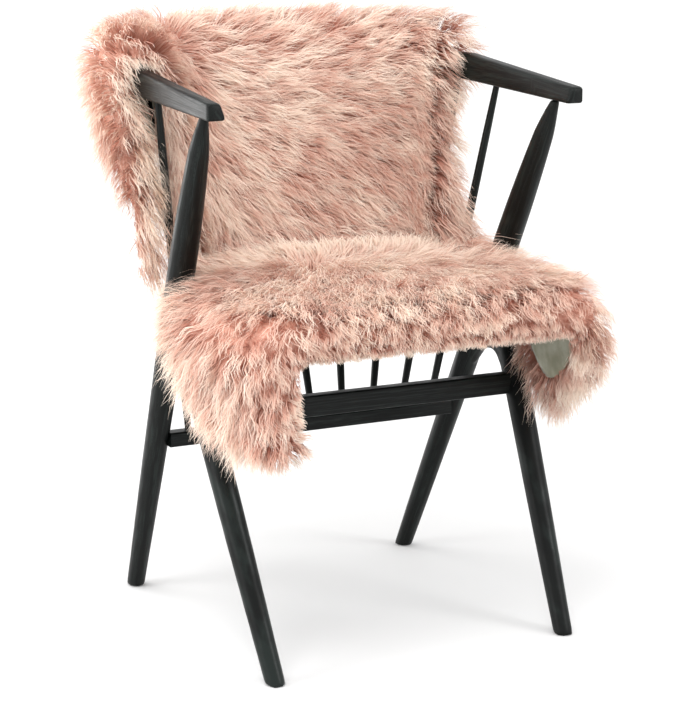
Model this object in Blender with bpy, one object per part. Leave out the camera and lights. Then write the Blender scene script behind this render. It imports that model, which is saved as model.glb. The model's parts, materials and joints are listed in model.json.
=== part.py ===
"""A long-wool sheepskin draped over a spindle-back dining chair.

Metres, +Z up. The origin lies on the floor under the middle of the whole object's
box; the skin hangs unevenly, so that is a little left of and behind the feet's middle.
+X is the viewer's right when the chair faces the viewer, which is towards -Y.
"""
import math

import bpy
import numpy as np
from mathutils import Vector

# Everything below is laid out from the middle of the four feet, which lies here
FEET_MIDDLE = Vector((0.0105, -0.0115, 0.0))

# Chair, overall
FOOT_FRONT = Vector((0.2096, -0.2265, 0.0))   # centre of the right front foot
FOOT_REAR = Vector((0.2153, 0.2265, 0.0))     # centre of the right rear foot
POST_TOP = Vector((0.2492, -0.1203, 0.685))   # where the right rear leg meets the arm
LEG_JOIN_Z = 0.4427                           # height at which front and rear leg meet
JOINT_GAP = 0.0004                            # glue line left open between two pieces

# Legs and spindles: share of the length from the floor, radius
REAR_LEG_PROFILE = (
    (0.00, 0.0125),
    (0.40, 0.0165),
    (0.64, 0.0180),
    (0.72, 0.0180),
    (0.93, 0.0135),
    (0.965, 0.0105),
    (1.00, 0.0060),
)
FRONT_LEG_PROFILE = ((0.00, 0.0125), (0.45, 0.0160), (0.85, 0.0175), (1.00, 0.0175))
SPINDLE_PROFILE = ((0.00, 0.0043), (0.12, 0.0053), (0.45, 0.0060), (0.85, 0.0053), (1.00, 0.0043))
ARCH_RADIUS = 0.0535                          # rounding under the joint of the two legs
WEB_THICK = 0.027                             # thickness of the wood that fills it
LEG_SIDES = 14
SPINDLE_SIDES = 8
SPINDLES = 9
SPINDLE_REACH_Y = 0.028                       # the outermost spindles meet the arms here

# Rails between the legs
FRONT_RAIL_Z = 0.307
FRONT_RAIL_HEIGHT = 0.028
FRONT_RAIL_DEPTH = 0.019
REAR_RAIL_Y = 0.0955
REAR_RAIL_Z = 0.2405
REAR_RAIL_HEIGHT = 0.020
REAR_RAIL_DEPTH = 0.022
REAR_RAIL_SPINDLE_SPAN = 0.372                # first to last spindle along the rear rail

# Arms and the bent back rail, one line seen from above
ARM_FRONT_Y = -0.165
ARM_HALF_FRONT = 0.2513                       # half the width between the arm ends
ARM_HALF_BACK = 0.2474                        # and where the bend begins
BEND_Y = 0.10
BACK_Y = 0.25
BEND_POWER = 2.5                              # above 2 squares the bend up
ARM_TOP_FRONT = 0.7112
ARM_TOP_BACK = 0.7385
ARM_HEIGHT_FRONT = 0.0215
ARM_HEIGHT_BACK = 0.0355
ARM_THICK_TOP = 0.018
ARM_THICK_BOTTOM = 0.025
ARM_CHAMFER = 0.004
SIDE_STEPS = 16                               # facets round each half of the bend

# Seat panel: half widths along its depth
SEAT_TOP = 0.4300
SEAT_THICK = 0.022
SEAT_DISH = 0.006
SEAT_OUTLINE = (
    # y, half width
    (-0.235, 0.196),
    (-0.222, 0.206),
    (-0.100, 0.213),
    (0.020, 0.2180),
    (0.055, 0.195),
    (0.090, 0.168),
    (0.120, 0.120),
    (0.138, 0.060),
)

# Sheepskin. The hide runs up the outside of the back rail, over it, down inside
# the spindles, across the seat and over the seat's front edge.
HIDE_ACROSS = 28                              # columns from the left edge to the right
KNEE_SHARE = 9.0 / 14.0                       # share of the columns that lie flat on the seat
KNEE_LIMIT = 0.92                             # where a row doesn't turn down, share of its reach
HIDE_STEP = 0.026                             # spacing of the rows along the skin
PLUMB = 0.15                                  # how far the outside hangs plumb, 1 is fully
FALL_POWER = 6.0                              # how late the ends of the back's rows fall
LUMP_HEIGHT = 0.005
LOCK_SHORT = 0.40                             # share of a lock's length between two tips
RIM_PILE = 0.80                               # share of the pile's height at the rim

BACK_ROWS = (
    # name, height, off (outside the spindles is +), left and right reach along the
    # rail, left and right fall of the ends, pile height, left and right lock length
    ("tail", 0.630, 0.0220, 0.385, 0.220, 0.150, 0.010, 0.044, 0.034, 0.030),
    ("outside", 0.686, 0.0190, 0.352, 0.262, 0.060, 0.000, 0.050, 0.036, 0.030),
    ("outer shoulder", 0.7285, 0.0175, 0.330, 0.278, 0.004, 0.000, 0.055, 0.036, 0.030),
    ("outer top", 0.7410, 0.0120, 0.326, 0.280, 0.000, 0.000, 0.060, 0.034, 0.030),
    ("rail top", 0.7450, 0.0000, 0.326, 0.282, 0.000, 0.000, 0.062, 0.032, 0.030),
    ("inner top", 0.7415, -0.0140, 0.328, 0.280, 0.000, 0.000, 0.059, 0.030, 0.030),
    ("inner shoulder", 0.7285, -0.0215, 0.328, 0.284, 0.000, 0.000, 0.052, 0.030, 0.030),
    ("upper back", 0.660, -0.0240, 0.328, 0.296, 0.000, 0.000, 0.046, 0.026, 0.040),
    ("middle back", 0.580, -0.0190, 0.328, 0.320, 0.000, 0.000, 0.046, 0.024, 0.044),
    ("lower back", 0.515, -0.0180, 0.332, 0.345, 0.000, 0.000, 0.044, 0.022, 0.034),
)
SEAT_ROWS = (
    # name, y, height, forward sweep of the ends, start of the left and right bend, left
    # and right reach, forward lean of the hanging sides, pile height, left and right lock
    ("crease", 0.122, 0.4570, 0.060, 0.300, 0.300, 0.200, 0.200, 0.00, 0.040, 0.010, 0.012),
    ("seat back", 0.062, 0.4385, 0.040, 0.300, 0.300, 0.203, 0.203, 0.00, 0.050, 0.006, 0.006),
    ("seat middle", -0.010, 0.4310, 0.034, 0.2180, 0.2180, 0.226, 0.226, 0.00, 0.058, 0.016, 0.016),
    ("behind flaps", -0.078, 0.4305, 0.010, 0.2170, 0.2170, 0.268, 0.274, 0.05, 0.062, 0.034, 0.036),
    ("flap back", -0.132, 0.4305, 0.010, 0.2150, 0.2150, 0.306, 0.322, 0.10, 0.062, 0.040, 0.054),
    ("flap middle", -0.190, 0.4305, 0.006, 0.2110, 0.2110, 0.332, 0.290, 0.12, 0.060, 0.042, 0.044),
    ("seat front", -0.232, 0.4320, 0.002, 0.2040, 0.2040, 0.336, 0.246, 0.12, 0.058, 0.040, 0.040),
    ("front bend", -0.2455, 0.4255, 0.000, 0.1940, 0.1940, 0.318, 0.222, 0.12, 0.052, 0.040, 0.034),
    ("hem", -0.252, 0.4110, 0.000, 0.1850, 0.1850, 0.280, 0.204, 0.10, 0.046, 0.034, 0.028),
)
SIDE_BEND = 0.016                             # length of hide that turns over the seat's side
HEM_LOCK = 0.014
TAIL_LOCK = 0.036

WOOD_COLOUR = (0.018, 0.020, 0.020, 1.0)
WOOL_COLOUR = (0.62, 0.33, 0.29, 1.0)


def clear_scene():
    for item in list(bpy.data.objects):
        bpy.data.objects.remove(item, do_unlink=True)


def make_material(name, colour, roughness):
    material = bpy.data.materials.new(name)
    material.use_nodes = True
    shader = material.node_tree.nodes["Principled BSDF"]
    shader.inputs["Base Color"].default_value = colour
    shader.inputs["Roughness"].default_value = roughness
    shader.inputs["Metallic"].default_value = 0.0
    return material


def make_object(name, verts, faces, material, parent=None):
    mesh = bpy.data.meshes.new(name)
    mesh.from_pydata([tuple(v) for v in verts], [], faces)
    mesh.materials.append(material)
    mesh.shade_smooth()
    mesh.set_sharp_from_angle(angle=math.radians(35.0))
    item = bpy.data.objects.new(name, mesh)
    bpy.context.scene.collection.objects.link(item)
    item.parent = parent
    return item


def ring_faces(rings, sides):
    """Faces of a tube of rings, each ring `sides` points long, with both ends filled."""
    faces = []
    for r in range(rings - 1):
        for k in range(sides):
            n = (k + 1) % sides
            faces.append((r * sides + k, r * sides + n, (r + 1) * sides + n, (r + 1) * sides + k))
    faces.append(tuple(reversed(range(sides))))
    faces.append(tuple((rings - 1) * sides + k for k in range(sides)))
    return faces


def turned_rod(name, start, end, profile, sides, material, parent, swell=0.0):
    """A turned rod from start up to end, both of its ends cut level."""
    axis = (end - start).normalized()
    across = axis.cross(Vector((0.0, 1.0, 0.0))).normalized()
    other = axis.cross(across)
    verts = []
    for share, radius in profile:
        centre = start.lerp(end, share)
        for k in range(sides):
            turn = 2.0 * math.pi * k / sides
            offset = (across * math.cos(turn) + other * math.sin(turn)) * (radius + swell)
            point = centre + offset
            if share in (0.0, 1.0):
                point = point - axis * ((point.z - centre.z) / axis.z)
            verts.append(point)
    return make_object(name, verts, ring_faces(len(profile), sides), material, parent)


def leg_web(name, join, foot_rear, foot_front, material, parent):
    """The wood between the two legs under their joint, hollowed to a round arch."""
    to_rear = (foot_rear - join).normalized()
    to_front = (foot_front - join).normalized()
    down = (to_rear + to_front).normalized()
    across = (to_front - to_rear).normalized()
    through = down.cross(across)
    half_angle = down.angle(to_rear)
    radius = REAR_LEG_PROFILE[2][1]
    centre = join + down * ((radius + ARCH_RADIUS) / math.sin(half_angle))
    reach = 0.5 * math.pi - half_angle
    stations = ((0.12, 1.0), (0.80, 1.0), (0.92, 0.80), (0.98, 0.45), (1.00, 0.12))
    loop = [(share, thick) for share, thick in stations]
    loop += [(share, -thick) for share, thick in reversed(stations)]
    turns = 8
    verts = []
    for k in range(turns + 1):
        turn = reach * (2.0 * k / turns - 1.0)
        edge = centre - down * (ARCH_RADIUS * math.cos(turn)) + across * (ARCH_RADIUS * math.sin(turn))
        for share, thick in loop:
            verts.append(join.lerp(edge, share) + through * (0.5 * WEB_THICK * thick))
    web = make_object(name, verts, ring_faces(turns + 1, len(loop)), material, parent)
    web.hide_render = True
    web.display_type = "WIRE"
    return web


def join_to(target, other):
    """Make the other piece part of the target, as one piece of wood."""
    union = target.modifiers.new("Join " + other.name, "BOOLEAN")
    union.operation = "UNION"
    union.solver = "EXACT"
    union.object = other


def cut_away(target, cutters):
    """Fit the target against its neighbours, each cutter a neighbour swollen by the glue line."""
    for cutter in cutters:
        cutter.hide_render = True
        cutter.display_type = "WIRE"
        cut = target.modifiers.new("Fit against " + cutter.name, "BOOLEAN")
        cut.operation = "DIFFERENCE"
        cut.solver = "EXACT"
        cut.object = cutter


def arm_half_width(y):
    share = (y - ARM_FRONT_Y) / (BEND_Y - ARM_FRONT_Y)
    return ARM_HALF_FRONT + (ARM_HALF_BACK - ARM_HALF_FRONT) * share


def arm_top(y):
    """Height of the arms' top, which rises backwards and levels out along the bend."""
    share = min(1.0, max(0.0, (y - ARM_FRONT_Y) / (BEND_Y - ARM_FRONT_Y)))
    return ARM_TOP_FRONT + (ARM_TOP_BACK - ARM_TOP_FRONT) * share


def arm_underside(y):
    share = min(1.0, max(0.0, (y - ARM_FRONT_Y) / (BEND_Y - ARM_FRONT_Y)))
    height = ARM_HEIGHT_FRONT + (ARM_HEIGHT_BACK - ARM_HEIGHT_FRONT) * share
    return arm_top(y) - height


def bend_points(count):
    """The left half of the bend seen from above, from the middle of the back to the arm."""
    points = []
    for k in range(count + 1):
        turn = 0.5 * math.pi * k / count
        x = -ARM_HALF_BACK * math.sin(turn) ** (2.0 / BEND_POWER)
        y = BEND_Y + (BACK_Y - BEND_Y) * math.cos(turn) ** (2.0 / BEND_POWER)
        points.append((x, y))
    return points


def rail_line():
    """The arm and rail line as a dense walk from the middle of the back to the left arm end."""
    walk = bend_points(96)
    walk.append((-ARM_HALF_FRONT, ARM_FRONT_Y))
    line = np.array(walk)
    lengths = np.concatenate(([0.0], np.cumsum(np.linalg.norm(np.diff(line, axis=0), axis=1))))
    return line, lengths


RAIL_LINE, RAIL_LENGTHS = rail_line()


def on_rail(arc):
    """Point and outward direction on the rail line; arc is signed, minus to the left."""
    step = 0.012
    side = -1.0 if arc < 0.0 else 1.0
    reach = abs(arc)

    def at(length):
        x = np.interp(abs(length), RAIL_LENGTHS, RAIL_LINE[:, 0])
        y = np.interp(abs(length), RAIL_LENGTHS, RAIL_LINE[:, 1])
        return np.array((x if length >= 0.0 else -x, y))

    point = at(reach)
    tangent = at(reach + step) - at(reach - step)
    tangent /= np.linalg.norm(tangent)
    outward = np.array((tangent[1], -tangent[0]))
    if side > 0.0:
        point[0] = -point[0]
        outward[0] = -outward[0]
    return point, outward


def spindle_arc():
    """Distance along the rail line from the middle of the back to the outermost spindle."""
    return float(np.interp(-SPINDLE_REACH_Y, -RAIL_LINE[:, 1], RAIL_LENGTHS))


def spindle_foot(arc):
    return np.array((0.5 * REAR_RAIL_SPINDLE_SPAN * arc / spindle_arc(), REAR_RAIL_Y))


def on_fan(arc, height, off):
    """Point on the fan of spindles at a height, moved off the fan by `off`, + to the outside."""
    top, outward = on_rail(arc)
    foot = spindle_foot(arc)
    low = REAR_RAIL_Z + 0.5 * REAR_RAIL_HEIGHT
    share = min(1.0, (height - low) / (arm_underside(BACK_Y) - low))
    if off > 0.0:
        share += (1.0 - share) * PLUMB
    plan = foot + (top - foot) * share + outward * off
    return np.array((plan[0], plan[1], height))


def rail_section(point, outward, top, underside):
    """Cross section of an arm or rail: outer face upright, inner face leaning in at the top."""
    o = Vector((outward[0], outward[1], 0.0))
    half = 0.5 * ARM_THICK_BOTTOM
    base = Vector((point[0], point[1], underside))
    up = Vector((0.0, 0.0, top - underside))
    drop = Vector((0.0, 0.0, ARM_CHAMFER))
    outer = base + o * half
    inner = base - o * half
    inner_top = base + o * (half - ARM_THICK_TOP) + up
    return [
        outer,
        outer + up - drop,
        outer + up - o * ARM_CHAMFER,
        inner_top + o * ARM_CHAMFER,
        inner_top - drop,
        inner,
    ]


def make_back_rail(material, parent):
    half = bend_points(SIDE_STEPS)
    arcs = [float(np.interp(-y, -RAIL_LINE[:, 1], RAIL_LENGTHS)) for x, y in half[4:]]
    arcs = [k * arcs[0] / 4.0 for k in range(4)] + arcs
    walk = [-a for a in reversed(arcs)] + arcs[1:]
    verts = []
    for arc in walk:
        point, outward = on_rail(arc)
        verts.extend(rail_section(point, outward, ARM_TOP_BACK, arm_underside(BACK_Y)))
    return make_object("back_rail", verts, ring_faces(len(walk), 6), material, parent)


def make_arm(name, side, material, parent):
    """A straight arm with a rounded front end, its underside lifted a little at the front."""
    stations = (
        # distance from the front end, share of the height, share of the thickness
        (0.000, 0.70, 0.55),
        (0.004, 0.86, 0.84),
        (0.012, 0.96, 1.00),
        (0.060, 1.00, 1.00),
        (BEND_Y - ARM_FRONT_Y - JOINT_GAP, 1.00, 1.00),
    )
    verts = []
    for distance, tall, thick in stations:
        y = ARM_FRONT_Y + distance
        x = side * arm_half_width(y)
        top = arm_top(y)
        section = rail_section((x, y), (side, 0.0), top, arm_underside(y))
        middle = Vector((x, y, 0.5 * (top + arm_underside(y))))
        for corner in section:
            offset = corner - middle
            verts.append(middle + Vector((offset.x * thick, offset.y, offset.z * tall)))
    faces = ring_faces(len(stations), 6)
    if side > 0.0:
        faces = [tuple(reversed(face)) for face in faces]
    return make_object(name, verts, faces, material, parent)


def make_bar(name, centre, size, material, parent):
    hx, hy, hz = (0.5 * s for s in size)
    edge = 0.003
    section = (
        (-hy + edge, -hz), (hy - edge, -hz), (hy, -hz + edge), (hy, hz - edge),
        (hy - edge, hz), (-hy + edge, hz), (-hy, hz - edge), (-hy, -hz + edge),
    )
    verts = [Vector((x, y, z)) for x in (-hx, hx) for y, z in section]
    bar = make_object(name, verts, ring_faces(2, len(section)), material, parent)
    bar.location = centre
    return bar


def make_seat(material, parent):
    """A thin panel, dished on top, narrowed behind so that it clears the spindles."""
    plan = [(half, y) for y, half in SEAT_OUTLINE]
    plan += [(-half, y) for half, y in reversed(plan)]
    middle_y = 0.5 * (SEAT_OUTLINE[0][0] + SEAT_OUTLINE[-1][0])
    rings = (
        # share of the plan, height
        (0.97, SEAT_TOP - SEAT_THICK),
        (1.00, SEAT_TOP - SEAT_THICK + 0.005),
        (1.00, SEAT_TOP - 0.006),
        (0.955, SEAT_TOP),
        (0.84, SEAT_TOP),
        (0.62, SEAT_TOP - SEAT_DISH),
    )
    verts = []
    for share, height in rings:
        verts.extend(Vector((x * share, middle_y + (y - middle_y) * share, height)) for x, y in plan)
    return make_object("seat", verts, ring_faces(len(rings), len(plan)), material, parent)


def back_row(row, shares):
    """One row of the hide along the rail or the spindles, and its pile and lock lengths."""
    name, height, off, left, right, left_fall, right_fall, pile, left_lock, right_lock = row
    points = []
    for share in shares:
        reach = left if share < 0.0 else right
        fall = (left_fall if share < 0.0 else right_fall) * abs(share) ** FALL_POWER
        points.append(on_fan(share * reach, height - fall, off))
    return np.array(points), pile, left_lock, right_lock


def seat_row(row, shares):
    """One row of the hide across the seat, turned down where it passes the seat's side."""
    name, y, height, sweep, bend_l, bend_r, left, right, lean, pile, left_lock, right_lock = row
    points = []
    for share in shares:
        side = -1.0 if share < 0.0 else 1.0
        bend, reach = (bend_l, left) if share < 0.0 else (bend_r, right)
        knee = min(bend, KNEE_LIMIT * reach)
        walk = float(np.interp(abs(share), (0.0, KNEE_SHARE, 1.0), (0.0, knee, reach)))
        turn = min(1.0, max(0.0, (walk - bend) / SIDE_BEND)) * 0.5 * math.pi
        radius = SIDE_BEND / (0.5 * math.pi)
        out = min(walk, bend) + radius * math.sin(turn)
        down = radius * (1.0 - math.cos(turn)) + max(0.0, walk - bend - SIDE_BEND)
        forward = sweep * abs(share) ** 2.0 + down * lean
        points.append((side * out, y - forward, height - down))
    return np.array(points), pile, left_lock, right_lock


def smooth_between(rows, knots, at):
    """Cubic through the rows that never overshoots, sampled at the distances `at`."""
    rows = np.asarray(rows, dtype=float)
    gaps = np.diff(knots)
    slopes = np.diff(rows, axis=0) / gaps.reshape((-1,) + (1,) * (rows.ndim - 1))
    tangents = np.zeros_like(rows)
    tangents[0] = slopes[0]
    tangents[-1] = slopes[-1]
    for k in range(1, len(rows) - 1):
        a = slopes[k - 1]
        b = slopes[k]
        w1 = 2.0 * gaps[k] + gaps[k - 1]
        w2 = gaps[k] + 2.0 * gaps[k - 1]
        safe_a = np.where(np.abs(a) < 1e-9, 1e-9, a)
        safe_b = np.where(np.abs(b) < 1e-9, 1e-9, b)
        mean = (w1 + w2) / (w1 / safe_a + w2 / safe_b)
        tangents[k] = np.where(a * b > 0.0, mean, 0.0)
    result = []
    for value in at:
        k = int(min(len(gaps) - 1, max(0, np.searchsorted(knots, value) - 1)))
        u = (value - knots[k]) / gaps[k]
        h = gaps[k]
        result.append(
            (2 * u**3 - 3 * u**2 + 1) * rows[k]
            + (u**3 - 2 * u**2 + u) * h * tangents[k]
            + (-2 * u**3 + 3 * u**2) * rows[k + 1]
            + (u**3 - u**2) * h * tangents[k + 1]
        )
    return np.array(result)


def hide_grid():
    """The hide as rows of points from the tail to the hem, with pile and lock lengths."""
    shares = np.linspace(-1.0, 1.0, HIDE_ACROSS + 1)
    table = [back_row(row, shares) for row in BACK_ROWS]
    table += [seat_row(row, shares) for row in SEAT_ROWS]
    rows = np.array([item[0] for item in table])
    values = np.array([item[1:] for item in table])
    spine = rows[:, HIDE_ACROSS // 2]
    knots = np.concatenate(([0.0], np.cumsum(np.linalg.norm(np.diff(spine, axis=0), axis=1))))
    samples = []
    for k in range(len(knots) - 1):
        parts = max(1, round((knots[k + 1] - knots[k]) / HIDE_STEP))
        samples.extend(knots[k] + (knots[k + 1] - knots[k]) * i / parts for i in range(parts))
    samples.append(knots[-1])
    return smooth_between(rows, knots, samples), smooth_between(values, knots, samples), samples


def grid_normals(grid):
    """Direction of the pile at each point of the hide, square to it on its wool side."""
    along = np.gradient(grid, axis=0)
    across = np.gradient(grid, axis=1)
    normals = np.cross(along, across)
    normals /= np.linalg.norm(normals, axis=2, keepdims=True)
    for _ in range(2):
        padded = np.pad(normals, ((1, 1), (1, 1), (0, 0)), mode="edge")
        normals = (
            2.0 * normals + padded[2:, 1:-1] + padded[:-2, 1:-1] + padded[1:-1, 2:] + padded[1:-1, :-2]
        )
        normals /= np.linalg.norm(normals, axis=2, keepdims=True)
    return normals


def make_sheepskin(material, parent):
    """A lumpy slab of wool on the hide, with pointed locks all round its rim."""
    grid, values, samples = hide_grid()
    normals = grid_normals(grid)
    rows, columns = grid.shape[:2]
    across = np.linspace(-1.0, 1.0, columns)
    pile = values[:, 0][:, None] * np.ones((1, columns))
    walk = np.array(samples)[:, None]
    lumps = np.sin(walk * 74.0 + 3.0 * across) * np.cos(across * 15.0 + walk * 21.0)
    edge_rows = np.minimum(np.arange(rows), np.arange(rows)[::-1])[:, None]
    edge_columns = np.minimum(np.arange(columns), np.arange(columns)[::-1])[None, :]
    edge = np.minimum(edge_rows, edge_columns)
    height = pile + LUMP_HEIGHT * lumps * np.minimum(1.0, edge / 2.0)
    height *= np.where(edge == 0, RIM_PILE, 1.0)
    top = grid + normals * height[:, :, None]

    def low(i, j):
        return i * columns + j

    def high(i, j):
        return rows * columns + i * columns + j

    verts = [Vector(p) for p in grid.reshape(-1, 3)] + [Vector(p) for p in top.reshape(-1, 3)]
    faces = []
    for i in range(rows - 1):
        for j in range(columns - 1):
            faces.append((low(i, j), low(i, j + 1), low(i + 1, j + 1), low(i + 1, j)))
            faces.append((high(i, j), high(i + 1, j), high(i + 1, j + 1), high(i, j + 1)))
    rim = [(i, 0) for i in range(rows)]
    rim += [(rows - 1, j) for j in range(1, columns)]
    rim += [(i, columns - 1) for i in range(rows - 2, -1, -1)]
    rim += [(0, j) for j in range(columns - 2, 0, -1)]
    first_tip = len(verts)
    for count, (i, j) in enumerate(rim):
        outward = Vector((0.0, 0.0, 0.0))
        lengths = []
        if j == 0:
            outward += Vector(grid[i, 0] - grid[i, 1]).normalized()
            lengths.append(values[i, 1])
        if j == columns - 1:
            outward += Vector(grid[i, j] - grid[i, j - 1]).normalized()
            lengths.append(values[i, 2])
        if i == 0:
            outward += Vector(grid[0, j] - grid[1, j]).normalized()
            lengths.append(TAIL_LOCK)
        if i == rows - 1:
            outward += Vector(grid[i, j] - grid[i - 1, j]).normalized()
            lengths.append(HEM_LOCK)
        length = max(lengths) * (1.0 if count % 2 == 0 else LOCK_SHORT)
        middle = Vector(grid[i, j]).lerp(Vector(top[i, j]), 0.45)
        verts.append(middle + outward.normalized() * length)
    for count, (i, j) in enumerate(rim):
        nxt = (count + 1) % len(rim)
        a, b = rim[count], rim[nxt]
        tip_a, tip_b = first_tip + count, first_tip + nxt
        faces.append((low(*a), low(*b), tip_b, tip_a))
        faces.append((tip_a, tip_b, high(*b), high(*a)))
    return make_object("sheepskin", verts, faces, material, parent)


def build():
    clear_scene()
    wood = make_material("black_stained_wood", WOOD_COLOUR, 0.42)
    wool = make_material("pink_wool", WOOL_COLOUR, 0.95)
    chair = bpy.data.objects.new("chair", None)
    bpy.context.scene.collection.objects.link(chair)
    chair.location = FEET_MIDDLE
    axis = POST_TOP - FOOT_REAR
    join = FOOT_REAR + axis * (LEG_JOIN_Z / axis.z)
    low = REAR_RAIL_Z + 0.5 * REAR_RAIL_HEIGHT
    front_cutters = []
    rear_cutters = []
    for label, side in (("left", -1.0), ("right", 1.0)):
        mirror = Vector((side, 1.0, 1.0))
        foot_rear = FOOT_REAR * mirror
        foot_front = FOOT_FRONT * mirror
        neck_top = POST_TOP * mirror
        neck_top.z = arm_underside(POST_TOP.y) - 1.5 * JOINT_GAP
        turned_rod("rear_leg_" + label, foot_rear, neck_top, REAR_LEG_PROFILE, LEG_SIDES, wood, chair)
        cutter = turned_rod(
            "rear_leg_cutter_" + label, foot_rear, neck_top, REAR_LEG_PROFILE, LEG_SIDES, wood, chair,
            JOINT_GAP,
        )
        rear_cutters.append(cutter)
        front = turned_rod(
            "front_leg_" + label, foot_front, join * mirror, FRONT_LEG_PROFILE, LEG_SIDES, wood, chair
        )
        web = leg_web("leg_web_" + label, join * mirror, foot_rear, foot_front, wood, chair)
        join_to(front, web)
        cut_away(front, [cutter])
        front_cutters.append(
            turned_rod(
                "front_leg_cutter_" + label, foot_front, join * mirror, FRONT_LEG_PROFILE, LEG_SIDES,
                wood, chair, JOINT_GAP,
            )
        )
        make_arm("arm_" + label, side, wood, chair)
    share = FRONT_RAIL_Z / join.z
    front_centre = Vector((0.0, FOOT_FRONT.y + (join.y - FOOT_FRONT.y) * share, FRONT_RAIL_Z))
    front_length = 2.0 * (FOOT_FRONT.x + (join.x - FOOT_FRONT.x) * share)
    front_rail = make_bar(
        "front_rail", front_centre, (front_length, FRONT_RAIL_DEPTH, FRONT_RAIL_HEIGHT), wood, chair
    )
    cut_away(front_rail, front_cutters)
    rear_centre = Vector((0.0, REAR_RAIL_Y, REAR_RAIL_Z))
    rear_length = 2.0 * (FOOT_REAR.x + axis.x * REAR_RAIL_Z / axis.z)
    rear_rail = make_bar(
        "rear_rail", rear_centre, (rear_length, REAR_RAIL_DEPTH, REAR_RAIL_HEIGHT), wood, chair
    )
    cut_away(rear_rail, rear_cutters)
    seat = make_seat(wood, chair)
    cut_away(seat, rear_cutters)
    make_back_rail(wood, chair)
    for k in range(SPINDLES):
        arc = spindle_arc() * (2.0 * k / (SPINDLES - 1) - 1.0)
        top, outward = on_rail(arc)
        foot = spindle_foot(arc)
        start = Vector((foot[0], foot[1], low + JOINT_GAP))
        end = Vector((top[0], top[1], arm_underside(top[1]) - 2.0 * JOINT_GAP))
        turned_rod(
            "spindle_" + str(k + 1), start, end, SPINDLE_PROFILE, SPINDLE_SIDES, wood, chair
        )
    make_sheepskin(wool, chair)


build()
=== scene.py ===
"""Looks of a long-wool sheepskin draped over a black-stained spindle-back chair.

Laid out as an add-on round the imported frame: each operator adds one piece or group of
like pieces, and main() calls them in order. Metres, +Z up, in the frame's own place.
+X is the viewer's right when the chair faces the viewer, which is towards -Y.
"""
import json
import math

import bpy
import numpy as np
from bpy.props import FloatProperty, FloatVectorProperty, IntProperty, PointerProperty
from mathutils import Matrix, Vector
from mathutils.kdtree import KDTree

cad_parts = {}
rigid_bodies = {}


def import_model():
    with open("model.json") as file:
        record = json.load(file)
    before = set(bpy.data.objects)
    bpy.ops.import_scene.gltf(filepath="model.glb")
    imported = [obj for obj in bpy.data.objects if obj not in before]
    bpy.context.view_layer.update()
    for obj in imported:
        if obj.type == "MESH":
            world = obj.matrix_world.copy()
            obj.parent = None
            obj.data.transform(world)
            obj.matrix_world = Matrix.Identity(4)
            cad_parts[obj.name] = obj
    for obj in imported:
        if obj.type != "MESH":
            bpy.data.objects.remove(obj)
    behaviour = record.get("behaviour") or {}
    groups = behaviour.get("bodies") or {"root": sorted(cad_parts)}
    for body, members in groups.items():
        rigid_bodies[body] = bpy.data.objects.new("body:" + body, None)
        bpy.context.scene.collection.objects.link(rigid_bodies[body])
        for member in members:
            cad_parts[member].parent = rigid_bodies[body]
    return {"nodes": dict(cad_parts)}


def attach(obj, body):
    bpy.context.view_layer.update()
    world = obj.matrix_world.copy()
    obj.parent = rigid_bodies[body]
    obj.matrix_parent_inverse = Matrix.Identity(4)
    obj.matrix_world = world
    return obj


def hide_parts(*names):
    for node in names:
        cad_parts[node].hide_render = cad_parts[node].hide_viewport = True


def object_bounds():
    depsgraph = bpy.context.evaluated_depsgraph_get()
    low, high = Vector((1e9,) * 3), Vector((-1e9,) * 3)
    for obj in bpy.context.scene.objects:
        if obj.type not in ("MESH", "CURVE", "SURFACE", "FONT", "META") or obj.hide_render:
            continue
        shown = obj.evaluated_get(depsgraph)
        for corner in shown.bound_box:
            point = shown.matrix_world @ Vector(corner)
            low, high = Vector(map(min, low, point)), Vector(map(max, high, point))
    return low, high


bl_info = {
    "name": "Sheepskin on a Spindle-Back Chair",
    "version": (1, 0, 0),
    "blender": (4, 5, 0),
    "location": "View3D > Sidebar > Sheepskin",
    "description": "Adds a dyed long-wool sheepskin draped over a black-stained chair",
    "category": "Add Mesh",
}

for item in list(bpy.data.objects):
    bpy.data.objects.remove(item, do_unlink=True)
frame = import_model()
CAD_LOW, CAD_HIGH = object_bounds()

# Legs and spindles: share of the length from the lower end, radius
REAR_LEG_PROFILE = (
    (0.00, 0.0125),
    (0.40, 0.0165),
    (0.64, 0.0180),
    (0.72, 0.0180),
    (0.93, 0.0135),
    (0.94, 0.0128),
    (1.00, 0.0060),
)
FRONT_LEG_PROFILE = ((0.00, 0.0125), (0.45, 0.0160), (0.85, 0.0175), (1.00, 0.0175))
SPINDLE_PROFILE = ((0.00, 0.0043), (0.12, 0.0053), (0.45, 0.0060), (0.85, 0.0053), (1.00, 0.0043))

LEG_SIDES = 32
SPINDLE_SIDES = 18
# Size of the cells in which the legs of a side are fused
LEG_VOXEL = 0.0029
# The wood in the leg joint: share of the way from the joint to the arch, share of its thickness
WEB_SECTION = ((0.12, 1.0), (0.80, 1.0), (0.88, 0.92), (0.94, 0.72), (0.98, 0.42), (1.00, 0.10))
WEB_STEPS = 20
LEG_RADIUS_AT_JOINT = 0.018
# A glued joint is drawn as a gap of this width on each side
GLUE_GAP = 0.0002
# Rails: depth and height of the section, and how much shorter each one is than the distance
# between the legs' axes
FRONT_RAIL_SECTION = (0.019, 0.028)
REAR_RAIL_SECTION = (0.022, 0.020)
RAIL_SHORT = 0.024
BAR_EDGE = 0.003
# Arms and back rail: rounding of the section's corners, from the outer lower one up and over
# to the inner lower one
ARM_ROUNDING = (0.004, 0.004, 0.005, 0.006)
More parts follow.
